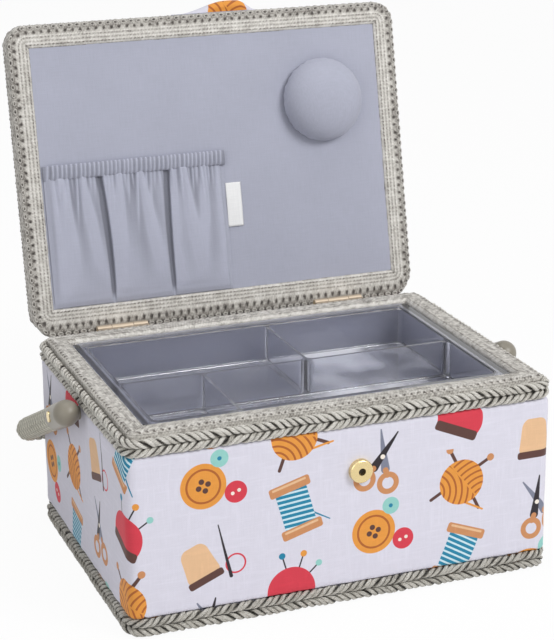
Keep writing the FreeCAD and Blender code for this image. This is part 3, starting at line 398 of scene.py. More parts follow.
def toned(tree, colour, tone):
    return mixColour(tree, 1.0, colour, joinXyz(tree, tone, tone, tone), "MULTIPLY")


def printedCloth():
    material, tree, shader = newMaterial("printedCotton")
    place = coordinates(tree, "UV")
    art = useGroup(tree, printNotions, Place=place)
    weave = useGroup(tree, clothWeave, Place=place, Pitch=0.0011)
    across, up, unused = place.split()
    hatch = speckle(tree, joinXyz(tree, across * 9.0, up * 1.2), 42.0, 3.0)
    crossHatch = speckle(tree, joinXyz(tree, across * 1.2, up * 9.0), 42.0, 3.0)
    tone = weave["Shade"] * 0.16 + (hatch.most(crossHatch)).remap(0.45, 0.8) * 0.06 + 0.87
    plug(tree, toned(tree, art["Colour"], tone), shader.inputs["Base Color"])
    plug(tree, 0.82 - art["Ink"] * 0.1, shader.inputs["Roughness"])
    shader.inputs["Sheen Weight"].default_value = 0.12
    shader.inputs["Specular IOR Level"].default_value = 0.3
    bump(tree, shader, weave["Height"], 0.25, 0.0003)
    return material


def plainCloth(name, colour, source, pitch=0.0011, strength=0.25, paintedFoldShade=False):
    material, tree, shader = newMaterial(name)
    place = coordinates(tree, source)
    weave = useGroup(tree, clothWeave, Place=place, Pitch=pitch)
    drift = speckle(tree, place, 22.0, 3.0)
    tone = weave["Shade"] * 0.26 + drift * 0.12 + 0.81
    # if set, the colour is darkened by the stored relief as painted shade in the folds and lightened on their
    # crests
    if paintedFoldShade:
        tone = tone * (coordinates(tree, "relief") * 0.62 + 0.48)
    plug(tree, toned(tree, colour, tone), shader.inputs["Base Color"])
    plug(tree, 0.66 + weave["Shade"] * 0.2, shader.inputs["Roughness"])
    shader.inputs["Sheen Weight"].default_value = 0.15
    shader.inputs["Specular IOR Level"].default_value = 0.35
    bump(tree, shader, weave["Height"], strength, 0.0003)
    return material


# yarn whose light and dark are painted shade and light, taken from the height of the stitch it lies in
def reliefYarn(name, stops, grain):
    material, tree, shader = newMaterial(name)
    relief = coordinates(tree, "relief")
    place = coordinates(tree, "Object")
    fibres = speckle(tree, place, grain, 3.0)
    tint = speckle(tree, place, 35.0)
    value = relief * 0.9 + (fibres - 0.5) * 0.55 + (tint - 0.5) * 0.16 + 0.05
    plug(tree, shades(tree, value, stops), shader.inputs["Base Color"])
    plug(tree, 0.86 - fibres * 0.2, shader.inputs["Roughness"])
    shader.inputs["Sheen Weight"].default_value = 0.2
    shader.inputs["Specular IOR Level"].default_value = 0.25
    bump(tree, shader, fibres, 0.5, 0.0004)
    return material


# cord yarn: where a strand's skin turns in towards the cord's core it is painted darker as shade, with fibre
# streaks and chance patches over it
def twistedYarn(name, stops):
    material, tree, shader = newMaterial(name)
    along = coordinates(tree, "strandAlong")
    around = coordinates(tree, "strandRound")
    strand = coordinates(tree, "strandNumber")
    lean = around * tau + along * 700.0
    spot = joinXyz(tree, along * 110.0, lean.cos() * 3.4, lean.sin() * 3.4 + strand * 9.0)
    fibres = speckle(tree, spot, 2.2, 3.0)
    patch = speckle(tree, joinXyz(tree, along * 95.0, strand * 7.3), 1.0, 2.0)
    creviceShade = coordinates(tree, "strandFace").remap(-0.25, 0.8)
    value = creviceShade * 0.6 + (fibres - 0.5) * 2.0 + (patch - 0.5) * 0.5 + 0.1
    plug(tree, shades(tree, value, stops), shader.inputs["Base Color"])
    plug(tree, 0.6 + fibres * 0.25, shader.inputs["Roughness"])
    shader.inputs["Sheen Weight"].default_value = 0.15
    shader.inputs["Specular IOR Level"].default_value = 0.4
    bump(tree, shader, fibres, 0.7, 0.0006)
    return material


def metal(name, colour, roughness, grain):
    material, tree, shader = newMaterial(name)
    place = coordinates(tree, "Object")
    wearAndSheen = speckle(tree, place, grain, 4.0)
    tone = wearAndSheen * 0.22 + 0.86
    plug(tree, toned(tree, colour, tone), shader.inputs["Base Color"])
    plug(tree, wearAndSheen * 0.2 + (roughness - 0.1), shader.inputs["Roughness"])
    shader.inputs["Metallic"].default_value = 1.0
    bump(tree, shader, wearAndSheen, 0.08, 0.0002)
    return material


def mouldedPlastic():
    material, tree, shader = newMaterial("taupePlastic")
    place = coordinates(tree, "Object")
    flow = speckle(tree, place, 90.0, 3.0)
    tone = flow * 0.16 + 0.9
    plug(tree, toned(tree, srgb(136, 130, 117), tone), shader.inputs["Base Color"])
    plug(tree, flow * 0.16 + 0.3, shader.inputs["Roughness"])
    bump(tree, shader, speckle(tree, place, 1400.0), 0.06, 0.0002)
    return material


# clear tray, its floor made milky, most so at the right, where the milkiness is partly haze and partly a
# painted reflection; places in metres
trayHaze = {"left": -0.02, "right": 0.04, "floor": 0.097, "wall": 0.101, "least": 0.14, "share": 0.78,
            "clear": 0.93}


def clearPlastic():
    material, tree, shader = newMaterial("clearTrayPlastic")
    place = coordinates(tree, "Object")
    across, unused, level = place.split()
    scuffs = speckle(tree, place, 60.0, 4.0)
    facing = Wire(tree, tree.nodes.new("ShaderNodeNewGeometry").outputs["Normal"]).split()[2]
    # weight of the floor's milkiness by place, raised at the right as a painted reflection
    wearAndSheen = across.remap(trayHaze["left"], trayHaze["right"]) * (1 - trayHaze["least"]) + trayHaze["least"]
    wearAndSheen = wearAndSheen * (1 - level.remap(trayHaze["floor"], trayHaze["wall"]))
    haze = facing.remap(0.8, 0.95) * speckle(tree, place, 16.0).remap(0.3, 0.58) * wearAndSheen
    shader.inputs["Base Color"].default_value = srgb(232, 233, 240)
    plug(tree, trayHaze["clear"] - haze * trayHaze["share"], shader.inputs["Transmission Weight"])
    shader.inputs["IOR"].default_value = 1.52
    plug(tree, scuffs.remap(0.35, 0.8) * 0.1 + 0.03, shader.inputs["Roughness"])
    bump(tree, shader, scuffs, 0.05, 0.0004)
    return material


def pressedBoard(name, colour, grain, strength):
    material, tree, shader = newMaterial(name)
    place = coordinates(tree, "Object")
    pulp = speckle(tree, place, grain, 5.0)
    tone = pulp * 0.4 + 0.78
    plug(tree, toned(tree, colour, tone), shader.inputs["Base Color"])
    plug(tree, 0.8 + pulp * 0.15, shader.inputs["Roughness"])
    bump(tree, shader, pulp, strength, 0.0005)
    return material


liningColour = srgb(170, 172, 187)
braidStops = [(0.0, srgb(52, 48, 46)), (0.28, srgb(124, 119, 113)), (0.6, srgb(199, 195, 188)),
              (1.0, srgb(238, 235, 230))]
rimStops = [(0.0, srgb(72, 67, 63)), (0.3, srgb(148, 143, 136)), (0.6, srgb(204, 200, 193)),
            (1.0, srgb(240, 237, 231))]
handleStops = [(0.0, srgb(78, 74, 64)), (0.35, srgb(140, 136, 122)), (0.7, srgb(186, 183, 168)),
               (1.0, srgb(214, 211, 198))]
cordStops = [(0.1, srgb(44, 40, 36)), (0.36, srgb(132, 127, 117)), (0.62, srgb(199, 195, 185)),
             (0.86, srgb(238, 235, 228))]
baseCordStops = [(0.1, srgb(40, 37, 33)), (0.38, srgb(122, 118, 108)), (0.66, srgb(184, 180, 170)),
                 (0.9, srgb(224, 221, 213))]
finish = {
    "printed_cloth": printedCloth(),
    "lining_cloth": plainCloth("liningPolyester", liningColour, "UV"),
    "gatheredLining": plainCloth("gatheredLining", liningColour, "UV", paintedFoldShade=True),
    "boardLining": plainCloth("liningOverBoard", liningColour, "Object"),
    "white_tape": plainCloth("whiteTape", srgb(238, 238, 238), "UV", 0.0007),
    "flat_braid": reliefYarn("lidBraidYarn", braidStops, 1500.0),
    "rimYarn": reliefYarn("rimBraidYarn", rimStops, 1500.0),
    "handle_braid": reliefYarn("handleBraidYarn", handleStops, 1200.0),
    "plaited_cord": twistedYarn("rimCordYarn", cordStops),
    "baseCordYarn": twistedYarn("baseCordYarn", baseCordStops),
    "clear_plastic": clearPlastic(),
    "grey_plastic": mouldedPlastic(),
    "pale_brass": metal("paleBrass", srgb(236, 214, 160), 0.26, 240.0),
    "hingeBrass": metal("hingeBrass", srgb(190, 176, 158), 0.62, 240.0),
    "holeShadeMetal": metal("holeShadeMetal", srgb(64, 60, 56), 0.5, 300.0),
    "steel": metal("brightSteel", srgb(196, 198, 202), 0.3, 300.0),
    "fibreboard": pressedBoard("fibreboard", srgb(172, 142, 106), 900.0, 0.3),
    "foam": pressedBoard("paleFoam", srgb(236, 228, 196), 1600.0, 0.6),
}
print("finishes made:", len(finish))


# mesh building
def gridPiece(name, points, wrapRows=False, wrapCols=False, uv=None, relief=None, flip=False):
    rows, cols = points.shape[:2]
    down = np.arange(rows if wrapRows else rows - 1)
    along = np.arange(cols if wrapCols else cols - 1)
    r, c = np.meshgrid(down, along, indexing="ij")
    r2, c2 = (r + 1) % rows, (c + 1) % cols
    quads = np.stack([r * cols + c, r * cols + c2, r2 * cols + c2, r2 * cols + c], -1).reshape(-1, 4)
    if uv is not None:
        corners = np.stack([uv[r, c], uv[r, c + 1], uv[r + 1, c + 1], uv[r + 1, c]], 2).reshape(-1, 4, 2)
    if flip:
        quads = quads[:, ::-1]
    mesh = bpy.data.meshes.new(name)
    mesh.vertices.add(rows * cols)
    mesh.vertices.foreach_set("co", (points / 1000).astype(np.float32).ravel())
    mesh.loops.add(quads.size)
    mesh.loops.foreach_set("vertex_index", np.ascontiguousarray(quads).ravel().astype(np.int32))
    mesh.polygons.add(len(quads))
    mesh.polygons.foreach_set("loop_start", np.arange(0, quads.size, 4, dtype=np.int32))
    mesh.update(calc_edges=True)
    if uv is not None:
        if flip:
            corners = corners[:, ::-1]
        layer = mesh.uv_layers.new(name="cut")
        layer.data.foreach_set("uv", (np.ascontiguousarray(corners) / 1000).astype(np.float32).ravel())
    if relief is not None:
        layer = mesh.attributes.new("relief", "FLOAT", "POINT")
        layer.data.foreach_set("value", relief.astype(np.float32).ravel())
    mesh.shade_smooth()
    return linked(name, mesh)


def linked(name, mesh):
    piece = bpy.data.objects.new(name, mesh)
    bpy.context.scene.collection.objects.link(piece)
    return piece


def edit(piece, *operations):
    work = bmesh.new()
    work.from_mesh(piece.data)
    for operation in operations:
        operation(work)
    work.to_mesh(piece.data)
    work.free()
    piece.data.shade_smooth()
    return piece


def welded(reach):
    def run(work):
        bmesh.ops.remove_doubles(work, verts=work.verts, dist=reach / 1000)
        bmesh.ops.recalc_face_normals(work, faces=work.faces)
    return run


def capped(work):
    edges = [edge for edge in work.edges if edge.is_boundary]
    bmesh.ops.holes_fill(work, edges=edges, sides=0)
    bmesh.ops.recalc_face_normals(work, faces=work.faces)


def thicken(piece, thickness, offset=-1.0):
    wall = piece.modifiers.new("wall", "SOLIDIFY")
    wall.thickness = thickness / 1000
    wall.offset = offset
    return piece


def settle(piece):
    graph = bpy.context.evaluated_depsgraph_get()
    mesh = bpy.data.meshes.new_from_object(piece.evaluated_get(graph), preserve_all_data_layers=True,
                                           depsgraph=graph)
    piece.modifiers.clear()
    piece.data = mesh
    return piece


def dress(piece, finishName, body, *nodes, slot=None):
    piece.data.materials.clear()
    piece.data.materials.append(finish[finishName])
    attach(piece, body)
    if nodes:
        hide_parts(*nodes)
    return piece


# rounded rectangle, counterclockwise, with the same point counts for every inset
def roundLoop(halfX, halfY, radius, counts):
    alongX, alongY, corner = counts
    radius = max(radius, 0.4)
    points = []
    for quarter, (signX, signY) in enumerate(((1, 1), (-1, 1), (-1, -1), (1, -1))):
        centre = np.array([signX * (halfX - radius), signY * (halfY - radius)])
        turn = (quarter + np.linspace(0, 1, corner)) * math.pi / 2
        arc = centre + radius * np.stack([np.cos(turn), np.sin(turn)], -1)
        points.append(arc)
        nextX, nextY = ((-1, 1), (-1, -1), (1, -1), (1, 1))[quarter]
        following = np.array([nextX * (halfX - radius), nextY * (halfY - radius)])
        start = (quarter + 1) * math.pi / 2
        begin = following + radius * np.array([math.cos(start), math.sin(start)])
        steps = alongX if quarter % 2 == 0 else alongY
        share = np.linspace(0, 1, steps + 1)[1:-1, None]
        points.append(arc[-1] * (1 - share) + begin * share)
    return np.concatenate(points)


def runLength(loop):
    steps = np.linalg.norm(np.roll(loop, -1, axis=0) - loop, axis=1)
    return np.concatenate([[0], np.cumsum(steps)])


def loopCounts(halfX, halfY, radius, step):
    return (int(2 * (halfX - radius) / step), int(2 * (halfY - radius) / step),
            max(5, int(radius * math.pi / 2 / step)))


def ripple(along, across, seed, size):
    wave = np.zeros(np.broadcast(along, across).shape)
    dice = np.random.default_rng(seed)
    for unused in range(7):
        angle, phase = dice.uniform(0, math.pi), dice.uniform(0, tau)
        rate = tau / (size * dice.uniform(0.6, 1.6))
        wave = wave + np.sin((along * math.cos(angle) + across * math.sin(angle)) * rate + phase)
    return wave / 4


hinge = {"y": 98.0, "z": 118.0, "open": math.radians(101.9)}
lid = {"halfX": 130.0, "front": -192.7, "back": -1.0, "corner": 13.0}


# points of the closed lid, measured from the hinge axis, stood at the open rest
def fromLid(points):
    turned = np.array(points, float)
    y, z = turned[..., 1].copy(), turned[..., 2].copy()
    turned[..., 1] = hinge["y"] + y * math.cos(hinge["open"]) + z * math.sin(hinge["open"])
    turned[..., 2] = hinge["z"] - y * math.sin(hinge["open"]) + z * math.cos(hinge["open"])
    return turned


lidMiddle = (lid["front"] + lid["back"]) / 2
lidHalfY = (lid["back"] - lid["front"]) / 2


def bell(value, middle, width):
    return np.exp(-((value - middle) / width) ** 2)


def fade(value, low, high):
    share = np.clip((value - low) / (high - low), 0, 1)
    return share * share * (3 - 2 * share)


# camera and light
cameraSetup = {"place": (-0.39628, -1.02912, 0.50275), "yaw": 20.76, "pitch": 18.06, "roll": -0.46,
               "lens": 109.29, "sensor": 36, "far": 50}


def setCamera():
    yaw, pitch, roll = (math.radians(cameraSetup[name]) for name in ("yaw", "pitch", "roll"))
    ahead = Vector((math.sin(yaw) * math.cos(pitch), math.cos(yaw) * math.cos(pitch), -math.sin(pitch)))
    right = Vector((math.cos(yaw), -math.sin(yaw), 0))
    up = right.cross(ahead)
    level, top = right * math.cos(roll) + up * math.sin(roll), up * math.cos(roll) - right * math.sin(roll)
    data = bpy.data.cameras.new("camera")
    data.lens = cameraSetup["lens"]
    data.sensor_width = cameraSetup["sensor"]
    data.clip_end = cameraSetup["far"]
    camera = linked("camera", data)
    turn = [(level[k], top[k], -ahead[k], cameraSetup["place"][k]) for k in range(3)]
    camera.matrix_world = Matrix([*turn, (0, 0, 0, 1)])
    bpy.context.scene.camera = camera


lampSetup = {
    "key": {"place": (0.75, -1.15, 1.25), "size": 0.8, "power": 17.5},
    "fill": {"place": (-1.3, -0.9, 0.8), "size": 1.2, "power": 4.6},
    "top": {"place": (-0.1, 0.1, 1.7), "size": 1.2, "power": 5.6},
}
studio = {"aim": (0, 0.03, 0.13), "room": (0.97, 0.98, 1.0, 1.0), "roomStrength": 0.36,
          "paper": (1.0, 1.0, 1.0, 1.0), "floor": (0.88, 0.88, 0.88, 1.0), "floorGlow": 0.95,
          "reach": 4000, "drop": 0.2}


# rays that meet the white paper itself, not the light it gives
def seenDirectly(tree):
    path = tree.nodes.new("ShaderNodeLightPath")
    seen = Wire(tree, path.outputs["Is Camera Ray"]).most(Wire(tree, path.outputs["Is Glossy Ray"]))
    return seen.most(Wire(tree, path.outputs["Is Transmission Ray"]))


def setLight():
    for name, lamp in lampSetup.items():
        data = bpy.data.lights.new(name, "AREA")
        data.shape = "DISK"
        data.size = lamp["size"]
        data.energy = lamp["power"]
        light = linked(name, data)
        light.location = lamp["place"]
        light.rotation_euler = (Vector(studio["aim"]) - light.location).to_track_quat("-Z", "Y").to_euler()
    scene = bpy.context.scene
    scene.view_settings.view_transform = "Standard"
    world = bpy.data.worlds.new("studio")
    scene.world = world
    world.use_nodes = True
    tree = world.node_tree
    tree.nodes.clear()
    room = tree.nodes.new("ShaderNodeBackground")
    room.inputs["Color"].default_value = studio["room"]
    room.inputs["Strength"].default_value = studio["roomStrength"]
    paper = tree.nodes.new("ShaderNodeBackground")
    paper.inputs["Color"].default_value = studio["paper"]
    mix = tree.nodes.new("ShaderNodeMixShader")
    plug(tree, seenDirectly(tree), mix.inputs[0])
    tree.links.new(room.outputs[0], mix.inputs[1])
    tree.links.new(paper.outputs[0], mix.inputs[2])
    output = tree.nodes.new("ShaderNodeOutputWorld")
    tree.links.new(mix.outputs[0], output.inputs[0])


def setFloor():
    reach = np.linspace(-studio["reach"], studio["reach"], 3)
    x, y = np.meshgrid(reach, reach, indexing="ij")
    floor = gridPiece("floor", np.stack([x, y, x * 0 - studio["drop"]], -1), flip=True)
    material, tree, shader = newMaterial("paleFloor")
    shader.inputs["Base Color"].default_value = studio["floor"]
    shader.inputs["Roughness"].default_value = 0.9
    glow = tree.nodes.new("ShaderNodeEmission")
    mix = tree.nodes.new("ShaderNodeMixShader")
    plug(tree, seenDirectly(tree) * studio["floorGlow"], mix.inputs[0])
    tree.links.new(shader.outputs[0], mix.inputs[1])
    tree.links.new(glow.outputs[0], mix.inputs[2])
    tree.links.new(mix.outputs[0], tree.nodes["Material Output"].inputs[0])
    floor.data.materials.append(material)


setCamera()
setLight()
setFloor()
print("camera, lamps and floor set")


# geometry node trees: a twisted cord along a path, and small shapes set along a path
def fieldNode(tree, kind, **settings):
    node = tree.nodes.new(kind)
    for name, value in settings.items():
        setattr(node, name, value)
    return node


def newFieldTree(name, inputs):
    tree = bpy.data.node_groups.new(name, "GeometryNodeTree")
    tree.interface.new_socket(name="Path", in_out="INPUT", socket_type="NodeSocketGeometry")
    for label, kind in inputs:
        tree.interface.new_socket(name=label, in_out="INPUT", socket_type=kind)
    tree.interface.new_socket(name="Mesh", in_out="OUTPUT", socket_type="NodeSocketGeometry")
    source = tree.nodes.new("NodeGroupInput")
    return tree, {socket.name: Wire(tree, socket) for socket in source.outputs if socket.name}


def store(tree, geometry, name, value, kind="FLOAT"):
    node = fieldNode(tree, "GeometryNodeStoreNamedAttribute", data_type=kind, domain="POINT")
    plug(tree, geometry, node.inputs["Geometry"])
    node.inputs["Name"].default_value = name
    plug(tree, value, node.inputs["Value"])
    return Wire(tree, node.outputs[0])


def closeTree(tree, geometry, material):
    real = fieldNode(tree, "GeometryNodeRealizeInstances")
    plug(tree, geometry, real.inputs[0])
    paintNode = fieldNode(tree, "GeometryNodeSetMaterial")
    plug(tree, Wire(tree, real.outputs[0]), paintNode.inputs["Geometry"])
    plug(tree, material, paintNode.inputs["Material"])
    sink = tree.nodes.new("NodeGroupOutput")
    plug(tree, Wire(tree, paintNode.outputs[0]), sink.inputs[0])


# unevenness of a twisted cord: the strands' swing round the lay, and how slack they lie
twist = {"swing": 2.7, "swingScale": 95.0, "slack": 0.9, "tight": 0.5, "slackScale": 170.0, "sides": 9}


def makeTwistedCord():
    tree, given = newFieldTree("twistedCord", [
        ("Strands", "NodeSocketInt"), ("Turns", "NodeSocketFloat"), ("Lay Radius", "NodeSocketFloat"),
        ("Strand Radius", "NodeSocketFloat"), ("Step", "NodeSocketFloat"), ("Seed", "NodeSocketFloat"),
        ("Material", "NodeSocketMaterial")])
    path = fieldNode(tree, "GeometryNodeMeshToCurve")
    plug(tree, given["Path"], path.inputs[0])
    resample = fieldNode(tree, "GeometryNodeResampleCurve", mode="LENGTH")
    plug(tree, Wire(tree, path.outputs[0]), resample.inputs["Curve"])
    plug(tree, given["Step"], resample.inputs["Length"])
    upright = fieldNode(tree, "GeometryNodeSetCurveNormal", mode="Z_UP")
    plug(tree, Wire(tree, resample.outputs[0]), upright.inputs["Curve"])
    copies = fieldNode(tree, "GeometryNodeDuplicateElements", domain="SPLINE")
    plug(tree, Wire(tree, upright.outputs[0]), copies.inputs["Geometry"])
    plug(tree, given["Strands"], copies.inputs["Amount"])
    number = Wire(tree, copies.outputs["Duplicate Index"])
    curve = store(tree, Wire(tree, copies.outputs["Geometry"]), "strandNumber", number)
    spline = fieldNode(tree, "GeometryNodeSplineParameter")
    curve = store(tree, curve, "strandAlong", Wire(tree, spline.outputs["Length"]))
    angle = Wire(tree, spline.outputs["Factor"]) * given["Turns"] * tau + number / given["Strands"] * tau
    spot = Wire(tree, fieldNode(tree, "GeometryNodeInputPosition").outputs[0])
    shifted = spot.vector("ADD", spot, joinXyz(tree, given["Seed"], number * 3.1))
    angle = angle + (speckle(tree, shifted, twist["swingScale"], 1.0) - 0.5) * twist["swing"]
    normal = Wire(tree, fieldNode(tree, "GeometryNodeInputNormal").outputs[0])
    tangent = Wire(tree, fieldNode(tree, "GeometryNodeInputTangent").outputs[0])
    side = normal.vector("CROSS_PRODUCT", tangent, normal)
    uneven = speckle(tree, shifted, twist["slackScale"], 1.0)
    lay = given["Lay Radius"] * (uneven * twist["slack"] + twist["tight"])
    out = normal.vector("SCALE", normal, angle.cos() * lay)
    out = out.vector("ADD", out, side.vector("SCALE", side, angle.sin() * lay))
    curve = store(tree, curve, "layWay", out.vector("NORMALIZE", out), "FLOAT_VECTOR")
    move = fieldNode(tree, "GeometryNodeSetPosition")
    plug(tree, curve, move.inputs["Geometry"])
    plug(tree, out, move.inputs["Offset"])
    ring = fieldNode(tree, "GeometryNodeCurvePrimitiveCircle")
    ring.inputs["Resolution"].default_value = twist["sides"]
    plug(tree, given["Strand Radius"], ring.inputs["Radius"])
    around = fieldNode(tree, "GeometryNodeSplineParameter")
    circle, share = Wire(tree, ring.outputs["Curve"]), Wire(tree, around.outputs["Factor"])
    profile = store(tree, circle, "strandRound", share)
    tube = fieldNode(tree, "GeometryNodeCurveToMesh")
    plug(tree, Wire(tree, move.outputs[0]), tube.inputs["Curve"])
    plug(tree, profile, tube.inputs["Profile Curve"])
    # strandFace: how far the strand's skin faces out from the cord's core, read by the cord yarn as painted
    # shade
    layWay = fieldNode(tree, "GeometryNodeInputNamedAttribute", data_type="FLOAT_VECTOR")
    layWay.inputs["Name"].default_value = "layWay"
    skin = Wire(tree, fieldNode(tree, "GeometryNodeInputNormal").outputs[0])
    facing = skin.vector("DOT_PRODUCT", skin, Wire(tree, layWay.outputs[0]))
    soft = fieldNode(tree, "GeometryNodeSetShadeSmooth")
    plug(tree, store(tree, Wire(tree, tube.outputs[0]), "strandFace", facing), soft.inputs["Geometry"])
    closeTree(tree, Wire(tree, soft.outputs[0]), given["Material"])
    return tree


def makeRowOfShapes():
    tree, given = newFieldTree("rowOfShapes", [
        ("Shape", "NodeSocketObject"), ("Spacing", "NodeSocketFloat"), ("Up", "NodeSocketVector"),
        ("Wobble", "NodeSocketFloat"), ("Material", "NodeSocketMaterial")])
    path = fieldNode(tree, "GeometryNodeMeshToCurve")
    plug(tree, given["Path"], path.inputs[0])
    spots = fieldNode(tree, "GeometryNodeCurveToPoints", mode="LENGTH")
    plug(tree, Wire(tree, path.outputs[0]), spots.inputs["Curve"])
    plug(tree, given["Spacing"], spots.inputs["Length"])
    ahead = fieldNode(tree, "FunctionNodeAlignRotationToVector", axis="X")
    plug(tree, Wire(tree, spots.outputs["Tangent"]), ahead.inputs["Vector"])
    raised = fieldNode(tree, "FunctionNodeAlignRotationToVector", axis="Z", pivot_axis="X")
    plug(tree, Wire(tree, ahead.outputs[0]), raised.inputs["Rotation"])
    plug(tree, given["Up"], raised.inputs["Vector"])
    shape = fieldNode(tree, "GeometryNodeObjectInfo")
    plug(tree, given["Shape"], shape.inputs["Object"])
    dice = fieldNode(tree, "FunctionNodeRandomValue", data_type="FLOAT")
    dice.inputs["Seed"].default_value = 5
    size = Wire(tree, dice.outputs[1]) * given["Wobble"] + 1.0
    copies = fieldNode(tree, "GeometryNodeInstanceOnPoints")
    plug(tree, Wire(tree, spots.outputs["Points"]), copies.inputs["Points"])
    plug(tree, Wire(tree, shape.outputs["Geometry"]), copies.inputs["Instance"])
    plug(tree, Wire(tree, raised.outputs[0]), copies.inputs["Rotation"])
    plug(tree, size, copies.inputs["Scale"])
    closeTree(tree, Wire(tree, copies.outputs[0]), given["Material"])
    return tree


twistedCord = makeTwistedCord()
rowOfShapes = makeRowOfShapes()


def pathPiece(name, points, closed=True):
    mesh = bpy.data.meshes.new(name)
    edges = [(k, k + 1) for k in range(len(points) - 1)] + ([(len(points) - 1, 0)] if closed else [])
    mesh.from_pydata((np.array(points) / 1000).tolist(), edges, [])
    return linked(name, mesh)


def grow(piece, tree, values):
    modifier = piece.modifiers.new("grow", "NODES")
    modifier.node_group = tree
    names = {item.name: item.identifier for item in tree.interface.items_tree if item.in_out == "INPUT"}
    for name, value in values.items():
        modifier[names[name]] = value
    return settle(piece)


# the four twisted cords round the body
cordSetup = {"strands": 3, "pitch": 13.2, "lay": 1.5, "strandRadius": 1.26, "step": 1.1, "sag": 0.12,
             "sags": 23}
body = {"halfX": 123.25, "halfY": 87.0, "corner": 3.0, "swell": 6.1, "swellCorner": 6.0, "hem": 2.5}
cordRuns = {
    "rimCordUpper": {"node": "rim_cord_upper", "z": 115.6, "out": 5.25, "way": 1, "yarn": "plaited_cord"},
    "rimCordLower": {"node": "rim_cord_lower", "z": 110.15, "out": 5.25, "way": -1, "yarn": "plaited_cord"},
    "baseCordLower": {"node": "base_cord_lower", "z": 3.2, "out": 5.25, "way": 1, "yarn": "baseCordYarn"},
    "baseCordUpper": {"node": "base_cord_upper", "z": 8.65, "out": 5.25, "way": -1, "yarn": "baseCordYarn"},
}
for seed, (name, run) in enumerate(cordRuns.items()):
    halfX, halfY, radius = (body[side] + run["out"] for side in ("halfX", "halfY", "corner"))
    loop = roundLoop(halfX, halfY, radius, loopCounts(halfX, halfY, radius, 2.0))
    length = runLength(loop)[-1]
    wander = cordSetup["sag"] * np.sin(np.arange(len(loop)) * tau / len(loop) * cordSetup["sags"])
    cord = pathPiece(name, np.column_stack([loop, run["z"] + wander]))
    grow(cord, twistedCord, {
        "Strands": cordSetup["strands"], "Turns": float(run["way"] * round(length / cordSetup["pitch"])),
        "Lay Radius": cordSetup["lay"] / 1000, "Strand Radius": cordSetup["strandRadius"] / 1000,
        "Step": cordSetup["step"] / 1000, "Seed": seed * 1.7, "Material": finish[run["yarn"]]})
    dress(cord, run["yarn"], "box", run["node"], slot="plaited_cord")
print("cords twisted")


# printed outer cloth, stretched round the wall and glued
coverCloth = {"rows": 120, "step": 2.2, "pulls": 0.34, "slack": 0.2, "thick": 0.6}


def makeOuterCover():
    swell, hem = body["swell"], body["hem"]
    profile = np.array([(hem, 0.6), (hem, 10.6), (hem + 0.2, 11.3), (4.6, 11.5), (5.7, 12.0), (swell, 13.4),
                        (swell, 30), (swell + 0.15, 60), (swell, 90), (swell, 105.4), (5.7, 106.8),
                        (4.6, 107.3), (0.4, 107.5), (0, 108.4), (0, 118.2)])
    spans = np.concatenate([[0], np.cumsum(np.linalg.norm(np.diff(profile, axis=0), axis=1))])
    where = np.linspace(0, spans[-1], coverCloth["rows"])
    out, level = np.interp(where, spans, profile[:, 0]), np.interp(where, spans, profile[:, 1])
    out[1:-1] = (out[:-2] + 2 * out[1:-1] + out[2:]) / 4
    counts = loopCounts(body["halfX"] + swell, body["halfY"] + swell, body["swellCorner"], coverCloth["step"])
    wide = roundLoop(body["halfX"] + swell, body["halfY"] + swell, body["swellCorner"], counts)
    run = runLength(wide)
    points = np.empty((len(where), len(wide), 3))
    for place, (outset, height) in enumerate(zip(out, level)):
        corner = body["corner"] + (body["swellCorner"] - body["corner"]) * outset / swell
        ring = roundLoop(body["halfX"] + outset, body["halfY"] + outset, corner, counts)
        near = roundLoop(body["halfX"] + outset - 1, body["halfY"] + outset - 1, corner, counts)
        ease = float(fade(height, 14, 30) * (1 - fade(height, 88, 104)))
        pulls = coverCloth["pulls"] * ripple(run[:-1], np.full(len(wide), height * 0.25), 5, 11) * (1 - ease)
        slack = coverCloth["slack"] * ripple(run[:-1], np.full(len(wide), height), 3, 46)
        lift = np.clip(pulls + slack, -0.15, 0.4) * fade(outset, hem, 5.0)
        points[place, :, :2] = ring + (ring - near) * lift[:, None]
        points[place, :, 2] = height
    u, v = np.meshgrid(run, where)
    piece = gridPiece("outerCover", points, wrapCols=True, uv=np.stack([u, v], -1))
    thicken(piece, coverCloth["thick"])
    dress(piece, "printed_cloth", "box", "outer_cover")


# lining glued round the inside of the walls
lining = {"halfX": 115.75, "halfY": 79.5, "corner": 1.5, "foot": 7.6, "top": 118.2, "slack": 0.12,
          "thick": 0.6, "tall": 0.1106}


def makeWallLining():
    shape = [lining[side] for side in ("halfX", "halfY", "corner")]
    loop = roundLoop(*shape, loopCounts(*shape, 3.0))
    run = runLength(loop)
    heights = np.linspace(lining["foot"], lining["top"], 40)
    along, up = np.meshgrid(run[:-1], heights)
    lift = lining["slack"] * ripple(along, up, 13, 28)
    centre = loop / np.linalg.norm(loop, axis=1)[:, None]
    points = np.empty((len(heights), len(loop), 3))
    points[..., :2] = loop[None] + centre[None] * np.clip(lift, -0.1, 0.2)[..., None]
    points[..., 2] = up
    u, v = np.meshgrid(run, heights)
    piece = gridPiece("wallLining", points, wrapCols=True, uv=np.stack([u, v], -1), flip=True)
    thicken(piece, lining["thick"])
    dress(piece, "lining_cloth", "box", "wall_lining")


# flat cloths on and under the base board
laidCloths = {
    "floorLining": {"node": "floor_lining", "halfX": 115.55, "halfY": 79.3, "corner": 1.5, "height": 7.5,
                    "thick": 0.8},
    "baseCloth": {"node": "base_cloth", "halfX": 121.95, "halfY": 85.7, "corner": 1.8, "height": 0.9,
                  "thick": 0.8},
}


def upward(work):
    if sum(face.normal.z for face in work.faces) < 0:
        bmesh.ops.reverse_faces(work, faces=work.faces)


